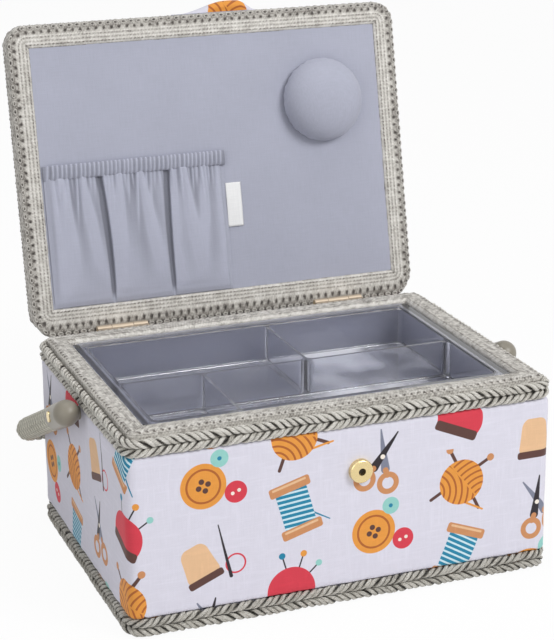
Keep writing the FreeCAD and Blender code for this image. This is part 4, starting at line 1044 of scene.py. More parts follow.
def makeLaidCloth(name, cloth):
    halfX, halfY, radius = cloth["halfX"], cloth["halfY"], cloth["corner"]
    counts = loopCounts(halfX, halfY, radius, 6.0)
    insets = np.concatenate([[0], np.linspace(4, min(halfX, halfY), 14)])
    rings = [roundLoop(halfX - inset, halfY - inset, max(radius - inset, 0.0), counts) for inset in insets]
    points = np.empty((len(insets), len(rings[0]), 3))
    points[..., :2] = np.array(rings)
    points[..., 2] = cloth["height"]
    wrapped = np.concatenate([points[..., :2], points[:, :1, :2]], 1)
    piece = gridPiece(name, points, wrapCols=True, uv=wrapped)
    edit(piece, welded(0.9))
    edit(piece, upward)
    thicken(piece, cloth["thick"])
    dress(piece, "lining_cloth", "box", cloth["node"])


makeOuterCover()
makeWallLining()
for name, cloth in laidCloths.items():
    makeLaidCloth(name, cloth)
print("body cloths made")


# flat braids: a section of (inset, height) drawn round the rectangle, its face knitted by a relief
def braidRing(name, trim, relief, toWorld):
    halfX, halfY, radius, backing = trim["halfX"], trim["halfY"], trim["corner"], trim["backing"]
    section = np.array(trim["section"], float)
    spans = np.concatenate([[0], np.cumsum(np.linalg.norm(np.diff(section, axis=0), axis=1))])
    where = np.linspace(0, spans[-1], int(spans[-1] / trim["step"]))
    count = len(where)
    face = np.stack([np.interp(where, spans, section[:, 0]), np.interp(where, spans, section[:, 1])], -1)
    for unused in range(3):
        face[1:-1] = (face[:-2] + 2 * face[1:-1] + face[2:]) / 4
    lean = np.gradient(face, axis=0)
    out = np.stack([lean[:, 1], -lean[:, 0]], -1)
    out /= np.linalg.norm(out, axis=1)[:, None]
    counts = loopCounts(halfX, halfY, radius, trim["step"])
    middle = roundLoop(halfX - 5, halfY - 5, max(radius - 5, 1.5), counts)
    run = runLength(middle)[:-1]
    total = runLength(middle)[-1]
    along, across = np.meshgrid(run, where)
    height, shade = relief(along, across, total)
    grid = np.empty((count + len(backing), len(run), 3))
    for place, ((inset, level), (outInset, outLevel)) in enumerate(zip(face, out)):
        ring = roundLoop(halfX - inset, halfY - inset, radius - inset, counts)
        pushed = roundLoop(halfX - inset - outInset, halfY - inset - outInset, radius - inset - outInset,
                           counts)
        grid[place, :, :2] = ring + (pushed - ring) * height[place][:, None]
        grid[place, :, 2] = level + outLevel * height[place]
    for place, (inset, level) in enumerate(backing):
        grid[count + place, :, :2] = roundLoop(halfX - inset, halfY - inset, radius - inset, counts)
        grid[count + place, :, 2] = level
    # the backing layers under the braid get a flat dark tone, painted shade
    tone = np.concatenate([shade, np.full((len(backing), len(run)), 0.3)])
    piece = gridPiece(name, toWorld(grid), wrapRows=True, wrapCols=True, relief=tone)
    return edit(piece, lambda work: bmesh.ops.recalc_face_normals(work, faces=work.faces))


def beat(along, total, pitch):
    return along / total * round(total / pitch)


# chance lightness of each single stitch
def stitchDice(ribs, rows, seed):
    table = np.random.default_rng(seed).uniform(-1, 1, (797, 41))
    return table[np.floor(ribs).astype(int) % 797, np.floor(rows).astype(int) % 41]


# rim: fine ribs over the top, a pale ridge at the opening, loose loops on the flap
rim = {"halfX": 125.75, "halfY": 89.5, "corner": 5.5, "step": 0.62, "rib": 1.9, "row": 1.5, "loop": 3.4,
       "hole": 4.2, "ridge": 24.4, "flap": 13.4,
       "section": [(0.6, 107.7), (0.1, 109.0), (0.1, 118.6), (0.5, 119.9), (1.8, 120.5), (6.0, 120.65),
                   (10.6, 120.6), (12.0, 119.9), (12.3, 118.8), (12.3, 116.9)],
       "backing": [(11.4, 116.9), (11.2, 119.5), (2.4, 119.6), (2.3, 118.4), (2.2, 107.7)]}


def rimRelief(along, across, total):
    ribs = beat(along, total, rim["rib"])
    rows = across / rim["row"]
    staggered = ribs + 0.5 * (np.floor(rows) % 2)
    knit = np.abs(np.sin(math.pi * staggered)) * np.abs(np.sin(math.pi * rows)) ** 0.6
    chance = stitchDice(staggered, rows, 23)
    ridge = bell(across, rim["ridge"], 0.9)
    groove = bell(across, 22.4, 0.4) + 0.5 * bell(across, 20.4, 0.35) + 0.5 * bell(across, 18.4, 0.35)
    loops = np.abs(np.sin(math.pi * beat(along, total, rim["loop"])))
    wander = ripple(along, across * 2, 21, 9)
    holes = fade(np.sin(tau * (beat(along, total, rim["hole"]) + 0.12 * wander)), 0.25, 0.9)
    holes = holes * bell(across, rim["flap"], 1.0)
    height = 0.4 * knit + 0.35 * ridge * (0.5 + 0.5 * loops) - 0.25 * groove - 0.5 * holes
    height = height + 0.12 * chance - 0.22
    # painted shade and light: the holes, grooves and low knit are darkened, the raised knit and the ridge
    # lightened; chance and wander add stitch tone
    shade = 0.36 + 0.4 * knit + 0.22 * chance + 0.3 * ridge - 0.35 * groove - 0.7 * holes + 0.08 * wander
    return height, np.clip(shade, 0, 1)


# lid: lace at the outer edge, a row of holes, rows of dark stitches between pale chains
lidTrim = {"halfX": lid["halfX"], "halfY": lidHalfY, "corner": lid["corner"], "step": 0.66, "wide": 15.5,
           "cell": 5.0, "rib": 1.75, "row": 1.3, "dash": 2.4, "bead": 2.0,
           "chains": (14.0, 11.6, 9.3, 7.1), "stitches": (12.8, 10.45, 8.2),
           "section": [(14.4, 5.3), (14.2, 4.4), (13.4, 3.95), (8.0, 3.85), (3.0, 3.9), (1.2, 4.4),
                       (0.35, 5.6), (0.25, 7.5), (0.3, 14.6), (1.0, 15.8)],
           "backing": [(2.1, 15.8), (2.1, 6.0), (3.0, 5.5), (12.0, 5.5)]}
# the braid's edge at the hinges hangs down over the gap
lidDroop = {"reach": 3.3, "from": -9.0, "to": -1.2, "low": 5.5, "high": 9.5}


def lidRelief(along, across, total):
    inset = lidTrim["wide"] - across
    wander = ripple(along, across * 2, 31, 10)
    cells = beat(along, total, lidTrim["cell"]) + 0.05 * wander
    middle = np.abs((cells % 1) - 0.5) * 2
    between = np.abs(((cells + 0.5) % 1) - 0.5) * 2
    rows = across / lidTrim["row"]
    ribs = beat(along, total, lidTrim["rib"]) + 0.5 * (np.floor(rows) % 2)
    knit = np.abs(np.sin(math.pi * ribs)) * np.abs(np.sin(math.pi * rows)) ** 0.5
    chance = stitchDice(ribs, rows, 37)
    holes = bell(middle, 0.0, 0.3) * bell(inset, 5.0, 0.8)
    peaks = (1 - fade(between, 0.25, 0.6)) * bell(inset, 2.0, 1.0) * 0.9
    side = fade(-inset, -0.2, 1.2)
    loops = fade(np.sin(tau * cells) * np.sin(tau * (-inset - 1.0) / 5.6), 0.15, 0.75) * side
    dashes = fade(np.sin(tau * beat(along, total, lidTrim["dash"])), -0.5, 0.3)
    beads = np.abs(np.sin(math.pi * beat(along, total, lidTrim["bead"])))
    chains = sum(bell(inset, spot, 0.62) for spot in lidTrim["chains"]) * (0.65 + 0.35 * beads)
    stitches = dashes * sum(bell(inset, spot, 0.36) for spot in lidTrim["stitches"])
    stitches = stitches + 0.5 * bell(inset, 3.5, 0.4)
    # painted shade: the holes, the gaps between the lace peaks and the side loops are darkened as shade; the
    # stitch dashes are darkened too, and the raised knit and chains painted lighter
    dark = np.clip(1.15 * holes + 0.6 * peaks + 0.42 * loops + (0.42 + 0.3 * chance) * stitches, 0, 1)
    height = 0.2 * knit + 0.4 * chains - 0.9 * holes - 0.55 * peaks - 0.4 * loops - 0.35 * stitches
    shade = 0.42 + 0.2 * knit + 0.34 * chains + 0.13 * chance - 0.85 * dark + 0.08 * wander + 0.08 * side
    return height + 0.1 * wander + 0.06 * chance - 0.12, np.clip(shade, 0, 1)


def onBox(grid):
    return grid


def onLid(grid):
    placed = np.array(grid)
    placed[..., 1] = placed[..., 1] + lidMiddle
    hang = fade(placed[..., 1], lidDroop["from"], lidDroop["to"])
    hang = hang * (1 - fade(placed[..., 2], lidDroop["low"], lidDroop["high"]))
    placed[..., 1] += lidDroop["reach"] * hang
    return fromLid(placed)


rimBraid = braidRing("rimBraid", rim, rimRelief, onBox)
dress(rimBraid, "rimYarn", "box", "rim_braid", slot="flat_braid")
lidBraid = braidRing("lidBraid", lidTrim, lidRelief, onLid)
dress(lidBraid, "flat_braid", "lid", "lid_braid")


# small loops of yarn standing along a braid, each one a bent ring
def yarnLoop(long, wide, thick, tone):
    turn, section = np.meshgrid(np.linspace(0, tau, 11)[:-1], np.linspace(0, tau, 5)[:-1], indexing="ij")
    reach = 1 + thick * np.cos(section) / wide
    points = np.stack([long * np.cos(turn) * reach, wide * np.sin(turn) * reach, thick * np.sin(section)], -1)
    return gridPiece("yarnLoop", points, wrapRows=True, wrapCols=True, relief=np.full(turn.shape, tone))


loopShape = {"long": 1.35, "wide": 0.8, "thick": 0.27, "tone": 0.6}
loopRows = {
    "lidLoops": {"body": "lid", "finish": "flat_braid", "spacing": 5.0, "half": (128.2, lidHalfY - 1.8, 11.2),
                 "level": 3.75, "up": -1, "place": onLid},
    "rimLoops": {"body": "box", "finish": "rimYarn", "spacing": 4.2, "half": (125.2, 88.95, 4.95),
                 "level": 119.9, "up": 1, "place": onBox},
}
for name, row in loopRows.items():
    ring = yarnLoop(**loopShape)
    edge = roundLoop(*row["half"], loopCounts(*row["half"], 2.0))
    rowPath = pathPiece(name, row["place"](np.column_stack([edge, np.full(len(edge), row["level"])])))
    face = row["place"](np.array([[0.0, 0.0, row["up"]], [0.0, 0.0, 0.0]]))
    grow(rowPath, rowOfShapes, {
        "Shape": ring, "Spacing": row["spacing"] / 1000, "Up": tuple(face[0] - face[1]), "Wobble": 0.22,
        "Material": finish[row["finish"]]})
    bpy.data.objects.remove(ring)
    dress(rowPath, row["finish"], row["body"], slot="flat_braid")
print("braids knitted")


# lining cloth of the lid, glued flat with a little looseness
lidCloth = {"halfX": 125.5, "margin": 4.5, "level": 5.75, "slack": 0.1, "creases": 0.05, "most": 0.2,
            "thick": 0.6, "flat": (0.251, 0.1827)}


def makeLidLining():
    wide = np.linspace(-lidCloth["halfX"], lidCloth["halfX"], 160)
    tall = np.linspace(lid["front"] + lidCloth["margin"], lid["back"] - lidCloth["margin"], 120)
    x, y = np.meshgrid(wide, tall, indexing="ij")
    lift = lidCloth["slack"] * ripple(x, y, 41, 55) + lidCloth["creases"] * ripple(x * 0.3, y, 43, 14)
    level = lidCloth["level"] + np.clip(lift, -lidCloth["most"], lidCloth["most"])
    piece = gridPiece("lidLining", fromLid(np.stack([x, y, level], -1)), uv=np.stack([x, y], -1), flip=True)
    thicken(piece, lidCloth["thick"])
    dress(piece, "lining_cloth", "lid", "lid_lining")


# padded top of the lid, crowned, its cloth turned down behind the braid
lidTop = {"halfX": 127.8, "halfY": lidHalfY - 2.2, "corner": 11.0, "top": 21.4, "edge": 18.4, "turn": 5.0,
          "low": 10.0, "tuck": 0.15, "thick": 0.7}


# each row's inset and level on the lid, and its inset on the flat cloth
def lidTopRows():
    edge, turn = lidTop["edge"], lidTop["turn"]
    for level in np.linspace(lidTop["low"], edge - turn, 4)[:-1]:
        yield 0.0, level, -(edge - level) + turn * 0.43
    for angle in np.linspace(0, math.pi / 2, 8):
        level = edge - turn * (1 - math.sin(angle))
        yield turn * (1 - math.cos(angle)), level, turn - turn * (math.pi / 2 - angle)
    for inset in np.linspace(turn, lidTop["halfY"], 34)[1:]:
        yield inset, edge, inset


def makeLidCover():
    shape = np.array([lidTop[side] for side in ("halfX", "halfY", "corner")])
    counts = loopCounts(*shape, 3.0)
    points, spread = [], []
    for inset, level, flat in lidTopRows():
        ring = roundLoop(*(shape - inset), counts)
        opened = roundLoop(*(shape - flat), counts)
        crown = (1 - (ring[:, 0] / lidTop["halfX"]) ** 2) * (1 - (ring[:, 1] / lidTop["halfY"]) ** 2)
        swell = (lidTop["top"] - lidTop["edge"]) * np.clip(crown, 0, 1) ** 0.6 * fade(inset, 0, 18)
        tuck = lidTop["tuck"] * ripple(ring[:, 0], ring[:, 1], 47, 40) * fade(inset, 0, 10)
        points.append(np.column_stack([ring, level + swell + tuck]))
        spread.append(np.concatenate([opened, opened[:1]]))
    piece = gridPiece("lidCover", onLid(np.array(points)), wrapCols=True, uv=np.array(spread))
    edit(piece, welded(0.9))
    thicken(piece, lidTop["thick"])
    dress(piece, "printed_cloth", "lid", "lid_cover", "lid_padding")


makeLidLining()
makeLidCover()
print("lid cloths made")

# gathered pocket: three pouches and a sewn side
# a deep pleat has its foot, top and sway, a soft fold its place, lean and depth
pocket = {"left": -114.6, "right": 4.5, "foot": -15.5, "mouth": -105.0, "header": 9.0, "level": 5.6,
          "thick": 0.3, "ruffles": 41, "seed": 61,
          "pleats": ((-75.2, -77.6, 1.2), (-35.0, -33.4, -0.8)),
          "folds": ((-104, -8, 1.6), (-90, -10, 1.8), (-66, 6, 1.5), (-52, -10, 1.9), (-24, -9, 1.9),
                    (-10, 6, 1.5)),
          "flat": 1.3, "full": 2.0, "least": 0.35, "edgeRoom": 1.7, "room": 2.9, "roomFrom": -112.6,
          "roomTo": -107.5}


def ruffleSpots():
    dice = np.random.default_rng(pocket["seed"])
    steps = dice.uniform(0.86, 1.14, pocket["ruffles"] + 1)
    spots = np.cumsum(steps)[:-1] / steps.sum() * (pocket["right"] - pocket["left"]) + pocket["left"]
    return spots, dice


# height of the three pouches, each proud at its left edge and diving under the next
def pouchLift(x, up):
    edges = [np.full_like(x, pocket["left"])]
    for foot, top, sway in pocket["pleats"]:
        edges.append(foot + (top - foot) * up + sway * np.sin(math.pi * up))
    edges.append(np.full_like(x, pocket["right"]))
    full = pocket["flat"] + pocket["full"] * np.sin(math.pi * np.clip(0.08 + 0.72 * up, 0, 1)) ** 0.8
    lift = np.zeros_like(x)
    for place, (low, high) in enumerate(zip(edges, edges[1:])):
        offset, left = x - low, high - x
        proud = fade(offset, -0.1, 1.1 if place else 5.0)
        slope = 1 - 0.34 * np.clip(offset / (high - low), 0, 1)
        dive = 1 - (0.9 if place < 2 else 0.7) * (1 - fade(left, 0.2, 3.0 + 2.0 * up))
        pouch = full * proud * slope * dive + 0.25 * full * (1 - proud)
        lift = np.where((x >= low) & (x <= high), pouch, lift)
    return lift


# short gathers under the header and long soft folds below them
def gatherLift(x, up):
    spots, dice = ruffleSpots()
    gathers, folds = np.zeros_like(x), np.zeros_like(x)
    for spot in spots:
        drop = dice.uniform(0.14, 0.3) + 0.26 * (dice.uniform() > 0.65)
        lean = dice.uniform(-5, 5)
        deep, wide = dice.uniform(0.5, 1.8), dice.uniform(0.7, 1.3)
        gathers += deep * bell(x + lean * (1 - up), spot, wide) * fade(up, 1 - drop, 1.0)
    for spot, lean, deep in pocket["folds"]:
        folds += deep * bell(x + lean * (1 - up), spot, 1.9 + 4.6 * (1 - up)) * fade(up, 0.08, 0.7)
    return gathers + folds


# height of each point over the mean of its neighbours to the left and right
def hollows(lift, reach, passes):
    mean = lift.copy()
    for unused in range(passes):
        wide = np.pad(mean, ((reach // 4 + 1, reach // 4 + 1), (0, 0)), mode="edge")
        mean = (wide[:len(lift)] + wide[-len(lift):] + mean) / 3
    return lift - mean


def makePocket():
    left, right = pocket["left"], pocket["right"]
    tall = np.linspace(pocket["foot"], pocket["mouth"] + pocket["header"] - 1.0, 100)
    x, y = np.meshgrid(np.linspace(left, right, 460), tall, indexing="ij")
    up = (pocket["foot"] - y) / (pocket["foot"] - pocket["mouth"] - pocket["header"])
    lift = pouchLift(x, up)
    rumple = 0.16 * ripple(x, y * 0.5, 55, 22) * fade(up, 0.05, 0.3)
    lift = lift + gatherLift(x, up) * fade(lift, 0.5, 2.5) + rumple
    seam = bell(x, right - 3.0, 0.5) * 0.4
    lift = np.clip(lift - seam, pocket["least"], None)
    # the shut lid leaves the cloth this much room over the tray, least at its foot and left edge
    clear = fade(up, 0.06, 0.16) * fade(x, pocket["roomFrom"], pocket["roomTo"])
    room = pocket["edgeRoom"] + pocket["room"] * clear
    lift = lift / (1 + (lift / room) ** 4) ** 0.25
    lift = lift * fade(up, -0.02, 0.05) + pocket["least"]
    # painted shade and light: the cloth is darkened in its hollows and lightened on its crests, less so near
    # the edges and the foot
    inside = fade(x, left, left + 9) * (1 - fade(x, right - 9, right)) * fade(up, 0.02, 0.12)
    tone = np.clip(0.84 + (0.8 * hollows(lift, 10, 30) + 0.5 * hollows(lift, 34, 30)) * inside, 0.05, 1)
    steps = np.hypot(np.diff(x, axis=0, prepend=x[:1]), np.diff(lift, axis=0, prepend=lift[:1]))
    piece = gridPiece("pocketCloth", fromLid(np.stack([x, y, pocket["level"] - lift], -1)),
                      uv=np.stack([np.cumsum(steps, axis=0), y], -1), relief=tone, flip=True)
    thicken(piece, pocket["thick"])
    dress(piece, "gatheredLining", "lid", "pocket_cloth", slot="lining_cloth")


# ruched header round the pocket's elastic, thinner at its left end
header = {"level": 5.1, "back": 2.2, "front": 1.35, "ruffle": 0.85, "wide": 0.8, "even": 0.45, "around": 24,
          "thin": 0.4}


def makeHeader():
    x = np.linspace(pocket["left"], pocket["right"], 620)
    turn = np.linspace(0, tau, 33)[:-1]
    spots, unused = ruffleSpots()
    half = pocket["header"] / 2
    points = np.empty((len(x), len(turn), 3))
    tone = np.empty((len(x), len(turn)))
    taper = header["thin"] + 0.6 * fade(x, pocket["roomFrom"], -108.5)
    for place, angle in enumerate(turn):
        along, face = math.sin(angle), -math.cos(angle)
        ruffle = sum(bell(x - 0.45 * along, spot, header["wide"]) for spot in spots) - header["even"]
        # painted shade between the ruffles and painted light on their crests
        tone[:, place] = np.clip(0.6 + 0.85 * ruffle, 0.05, 1)
        profile = math.copysign(abs(along) ** 0.75, along)
        points[:, place, 0] = x
        points[:, place, 1] = pocket["mouth"] + half - profile * half * 1.04 - ruffle * 0.35 * abs(along)
        deep = (header["front"] + header["ruffle"] * (ruffle + header["even"])) * taper
        backed = header["back"] * taper
        points[:, place, 2] = header["level"] - backed - (deep * face if face > 0 else backed * face)
    u, v = np.meshgrid(x, np.linspace(0, header["around"], len(turn) + 1), indexing="ij")
    piece = gridPiece("pocketHeader", fromLid(points), wrapCols=True, uv=np.stack([u * 1.9, v], -1),
                      relief=tone)
    edit(piece, capped)
    dress(piece, "gatheredLining", "lid", "pocket_header", "pocket_elastic", slot="lining_cloth")


# folded blank tape caught in the pocket's side seam
label = {"foot": -55.6, "top": -83.9, "edge": 14.6, "wide": 10.4, "level": 4.7, "apart": 0.42, "fold": 0.21,
         "wave": 0.12, "thick": 0.25, "flat": (0.0208, 0.0283)}


def makeLabel():
    tall = np.linspace(label["foot"], label["top"], 24)
    y, turn = np.meshgrid(tall, np.linspace(-1, 1, 25), indexing="ij")
    x = label["edge"] - np.abs(turn) * label["wide"]
    z = label["level"] - label["apart"] * np.sign(turn) * np.clip(np.abs(turn) * 6, 0, 1)
    z = z - label["fold"] * (1 - np.abs(turn)) + label["wave"] * np.sin(y * 0.2)
    piece = gridPiece("pocketLabel", fromLid(np.stack([x, y, z], -1)), uv=np.stack([turn * 11, y], -1))
    thicken(piece, label["thick"], 0.0)
    dress(piece, "white_tape", "lid", "pocket_label")


makePocket()
makeHeader()
makeLabel()
print("pocket sewn")

# domed pincushion, blown up as cloth over its pinned rim, then puckered at the seam
cushion = {"x": 75.0, "y": -132.0, "seat": 5.2, "radius": 27.3, "tall": 19.4, "pressure": 4.0, "cap": 1.6,
           "frames": 20, "pinned": 0.003, "pucker": 0.3, "smallPucker": 0.22, "tuck": 0.8}
cushionSeat = fromLid(np.array([cushion["x"], cushion["y"], cushion["seat"]]))
lidOutward = fromLid(np.array([0, 0, -1.0])) - fromLid(np.array([0.0, 0, 0]))
lidAlong = fromLid(np.array([0, 1.0, 0])) - fromLid(np.array([0.0, 0, 0]))


def domePoints():
    turn = np.linspace(0, tau, 73)[:-1]
    points = []
    for share in np.linspace(0.0, 1.0, 22):
        reach = math.sin(share * math.pi / 2) ** 0.94
        level = math.cos(share * math.pi / 2) ** 0.82
        pinch = 1.0 - 0.05 * fade(share, 0.93, 1.0)
        ring = cushion["radius"] * reach * pinch
        height = np.full(len(turn), cushion["seat"] - cushion["tall"] * level)
        x, y = cushion["x"] + ring * np.cos(turn), cushion["y"] + ring * np.sin(turn)
        points.append(np.column_stack([x, y, height]))
    return np.array(points)


# the cloth is free above its sewn rim, and each point moves no further than the cap
def puff(piece):
    start = np.array([vertex.co for vertex in piece.data.vertices])
    level = (start - cushionSeat / 1000) @ lidOutward
    sewn = piece.vertex_groups.new(name="sewn")
    sewn.add([int(k) for k in np.nonzero(level < cushion["pinned"])[0]], 1.0, "REPLACE")
    cloth = piece.modifiers.new("cloth", "CLOTH")
    cloth.settings.use_pressure = True
    cloth.settings.uniform_pressure_force = cushion["pressure"]
    cloth.settings.vertex_group_mass = "sewn"
    cloth.settings.effector_weights.gravity = 0
    cloth.point_cache.frame_start = 1
    cloth.point_cache.frame_end = cushion["frames"]
    for moment in range(1, cushion["frames"] + 1):
        bpy.context.scene.frame_set(moment)
    graph = bpy.context.evaluated_depsgraph_get()
    blown = np.array([vertex.co for vertex in piece.evaluated_get(graph).data.vertices])
    piece.modifiers.clear()
    step = blown - start
    far = np.linalg.norm(step, axis=1, keepdims=True)
    step *= np.minimum(1, cushion["cap"] / 1000 / np.maximum(far, 1e-9))
    piece.data.vertices.foreach_set("co", (start + step).astype(np.float32).ravel())
    piece.data.update()
    bpy.context.scene.frame_set(1)
    smooth = piece.modifiers.new("smooth", "SMOOTH")
    smooth.factor = 0.5
    smooth.iterations = 3
    settle(piece)


def pucker(piece):
    coords = np.empty(len(piece.data.vertices) * 3, np.float32)
    piece.data.vertices.foreach_get("co", coords)
    coords = coords.reshape(-1, 3).astype(float) * 1000
    offset = coords - cushionSeat
    height = offset @ lidOutward
    planeX, planeY = offset[:, 0], offset @ lidAlong
    angle = np.arctan2(planeY, planeX)
    skirt = 1 - fade(height, 0.5, 6.5)
    gathers = cushion["pucker"] * np.sin(angle * 29) * skirt
    gathers = gathers + cushion["smallPucker"] * np.sin(angle * 13 + 1) * skirt
    tuckLine = bell(((angle + 0.85 + math.pi) % tau) - math.pi, 0, 0.05) * (1 - fade(height, 3.0, 11.0))
    far = np.hypot(planeX, planeY).clip(1)
    radial = np.column_stack([planeX / far, planeY * 0, planeY * 0]) + (planeY / far)[:, None] * lidAlong[None]
    coords += radial * (gathers - cushion["tuck"] * tuckLine)[:, None]
    piece.data.vertices.foreach_set("co", (coords / 1000).astype(np.float32).ravel())
    piece.data.update()
    piece.data.shade_smooth()


def makePincushion():
    piece = gridPiece("pincushionPad", fromLid(domePoints()), wrapCols=True)
    edit(piece, welded(0.05), capped)
    puff(piece)
    finer = piece.modifiers.new("finer", "SUBSURF")
    finer.levels = finer.render_levels = 1
    settle(piece)
    pucker(piece)
    dress(piece, "boardLining", "lid", "pincushion_pad", slot="lining_cloth")


makePincushion()
print("pincushion filled")

# closure tab: a stiffened strip folded over its bead, hanging behind the open lid
tab = {"x": 8.0, "y": 158.8, "bead": 304.67, "loop": 3.9, "half": 26.0, "tipHalf": 21.0, "end": 233.4,
       "round": 16, "front": (3.9, 2.4), "back": (3.6, 2.1), "skew": 6.5,
       "mound": (1.4, 5.6, 6.0), "print": (124, 150, 24),
       "bendStart": (0.008, 0.1588, 0.2885), "bendEnd": (0.008, 0.1588, 0.2805)}


def makeTab():
    bead, end = tab["bead"], tab["end"]
    heights = np.concatenate([np.linspace(bead + tab["loop"], bead, 14)[:-1], np.linspace(bead, end, 78)])
    side = np.linspace(-1, 1, 40)
    around = np.concatenate([side, side[::-1]])
    back = np.repeat([0.0, 1.0], len(side))
    rise, leftFall, rightFall = tab["mound"]
    printX, backX, printY = tab["print"]
    pillow = np.clip(1 - np.abs(around) ** 8, 0, 1) ** 0.5
    mound = rise * bell(around, 0.3, 0.5) - leftFall * fade(-around, -0.1, 1.05)
    mound = mound - rightFall * fade(around, 0.5, 1.05)
    points = np.empty((len(heights), len(around), 3))
    flat = np.empty((len(heights), len(around) + 1, 2))
    for place, height in enumerate(heights):
        above, below = max(0.0, height - bead), max(0.0, bead - height)
        cap = math.sqrt(max(tab["loop"] ** 2 - above ** 2, 0.0))
        thin = float(fade(below, 2, 15))
        front, rear = (cap if above else thick - less * thin for thick, less in (tab["front"], tab["back"]))
        half = tab["half"] - (tab["half"] - tab["tipHalf"]) * float(fade(below, 18, 60))
        past = below - (bead - end - tab["round"])
        if past > 0:
            half = half - tab["round"] + tab["round"] * math.sqrt(max(0.0, 1 - (past / tab["round"]) ** 2))
        points[place, :, 0] = tab["x"] + around * half + tab["skew"] * (1 - fade(below, 4, 52))
        points[place, :, 1] = tab["y"] + np.where(back > 0, rear, -front) * pillow
        points[place, :, 2] = height + mound * (1 - fade(below, 0, 17))
        along = np.full(len(around), height - bead + printY)
        row = np.column_stack([around * half + printX + backX * back, along])
        flat[place] = np.concatenate([row, row[:1]])
    piece = gridPiece("tabCloth", points, wrapCols=True, uv=flat)
    edit(piece, welded(0.02), capped)
    piece.data.materials.clear()
    piece.data.materials.append(finish["printed_cloth"])
    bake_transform(piece)
    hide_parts("tab_root", "tab_outer_cloth", "tab_inner_cloth", "tab_stiffener")


makeTab()
print("closure tab sewn")

# dark iron disc at the bottom of the snap's hole, a dark thing put there as painted shade of the hollow
holeShade = {"x": 8.0, "z": 81.0, "back": -94.1, "front": -94.45, "radius": 2.15}


def makeHoleShade():
    turn = np.linspace(0, tau, 33)[:-1]
    points = []
    for share, end in ((0.0, "front"), (0.55, "front"), (1.0, "front"), (1.0, "back"), (0.0, "back")):
        reach = holeShade["radius"] * share
        points.append(np.column_stack([holeShade["x"] + reach * np.cos(turn), np.full(len(turn), holeShade[end]),
                                       holeShade["z"] + reach * np.sin(turn)]))
    piece = gridPiece("snapMagnet", np.array(points), wrapCols=True)
    edit(piece, welded(0.01))
    piece.data.shade_flat()
    dress(piece, "holeShadeMetal", "box", slot="steel")


makeHoleShade()

# wrapped handle: an over and under braid drawn along the bent bail
handle = {"pivotZ": 102.5, "armX": 140.25, "reach": 111.19, "lean": math.radians(24.6), "bend": 17.0,
          "radius": 7.05, "start": 8.0, "step": 0.85, "sides": 48, "pitch": 6.2, "yarns": 7, "sway": 0.12,
          "sunk": 0.75, "proud": 1.1}


# the bail in its own plane, from the left arm's end to the right arm's
def bailPath():
    arm, reach, bend = handle["armX"], handle["reach"], handle["bend"]
    turn = np.linspace(0, math.pi / 2, 60)
    path = [np.column_stack([np.full(80, -arm), np.linspace(handle["start"], reach - bend, 81)[:-1]])]
    path.append(np.column_stack([-arm + bend - bend * np.cos(turn), reach - bend + bend * np.sin(turn)]))
    path.append(np.column_stack([np.linspace(-arm + bend, arm - bend, 282)[1:-1], np.full(280, reach)]))
    path.append(np.column_stack([arm - bend + bend * np.sin(turn), reach - bend + bend * np.cos(turn)]))
    path.append(np.column_stack([np.full(80, arm), np.linspace(reach - bend, handle["start"], 81)[1:]]))
    line = np.concatenate(path)
    spans = np.concatenate([[0], np.cumsum(np.linalg.norm(np.diff(line, axis=0), axis=1))])
    where = np.arange(0, spans[-1], handle["step"])
    return where, np.stack([np.interp(where, spans, line[:, 0]), np.interp(where, spans, line[:, 1])], -1)


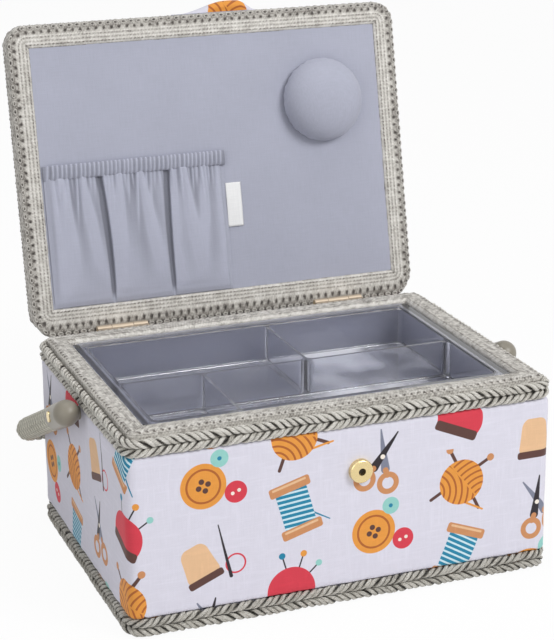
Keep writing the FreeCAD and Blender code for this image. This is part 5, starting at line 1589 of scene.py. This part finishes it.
def makeHandleWrap():
    where, line = bailPath()
    ahead = np.gradient(line, axis=0)
    ahead /= np.linalg.norm(ahead, axis=1)[:, None]
    out = np.stack([-ahead[:, 1], ahead[:, 0]], -1)
    angle = np.linspace(0, tau, handle["sides"] + 1)[:-1]
    along, around = np.meshgrid(where, angle, indexing="ij")
    sway = handle["sway"] * ripple(along, around * 7, 71, 16)
    first = along / handle["pitch"] + around / tau * handle["yarns"] + sway
    second = along / handle["pitch"] - around / tau * handle["yarns"] + sway
    over = (np.floor(first) + np.floor(second)) % 2
    ridgeA, ridgeB = np.abs(np.sin(math.pi * first)), np.abs(np.sin(math.pi * second))
    lobe = np.where(over > 0, ridgeA ** 0.7 * ridgeB ** 0.35, ridgeB ** 0.7 * ridgeA ** 0.35)
    radius = handle["radius"] - handle["sunk"] + handle["proud"] * lobe
    spread, high = radius * np.cos(around), radius * np.sin(around)
    run = line[:, None, 1] + out[:, None, 1] * spread
    points = np.empty((len(where), len(angle), 3))
    points[..., 0] = line[:, None, 0] + out[:, None, 0] * spread
    points[..., 1] = run * math.cos(handle["lean"]) + high * math.sin(handle["lean"])
    points[..., 2] = handle["pivotZ"] - run * math.sin(handle["lean"]) + high * math.cos(handle["lean"])
    u, v = np.meshgrid(where, np.linspace(0, tau * handle["yarns"], handle["sides"] + 1), indexing="ij")
    # painted shade: the low parts between the braid's lobes are darker, the lobes lighter
    tone = np.clip(lobe * 0.95 + 0.05, 0, 1)
    piece = gridPiece("handleWrap", points, wrapCols=True, uv=np.stack([u, v], -1), relief=tone)
    edit(piece, capped)
    dress(piece, "handle_braid", "handle", "handle_wrap")


makeHandleWrap()
print("handle wrapped")

# finishes of the rigid parts, all others are pale brass
finishNodes = {
    "fibreboard": ("base_board", "front_board", "back_board", "left_board", "right_board", "lid_board",
                   "pincushion_base"),
    "boardLining": ("left_tray_ledge", "right_tray_ledge", "tab_anchor"),
    "foam": ("wall_padding",),
    "clear_plastic": ("tray",),
    "grey_plastic": ("left_end_cap", "right_end_cap", "left_handle_bush", "right_handle_bush"),
    "hingeBrass": ("left_hinge_box_leaf", "right_hinge_box_leaf", "left_hinge_lid_leaf",
                   "right_hinge_lid_leaf"),
    "steel": ("handle_core", "left_rivet_washer", "right_rivet_washer"),
}
nodeFinish = {node: name for name, nodes in finishNodes.items() for node in nodes}
for name, node in cadNodes.items():
    if node.hide_render:
        continue
    chosen = finish[nodeFinish.get(name, "pale_brass")]
    if node.material_slots:
        for slot in node.material_slots:
            slot.material = chosen
    else:
        node.data.materials.append(chosen)
print("rigid parts finished")

bpy.context.view_layer.update()
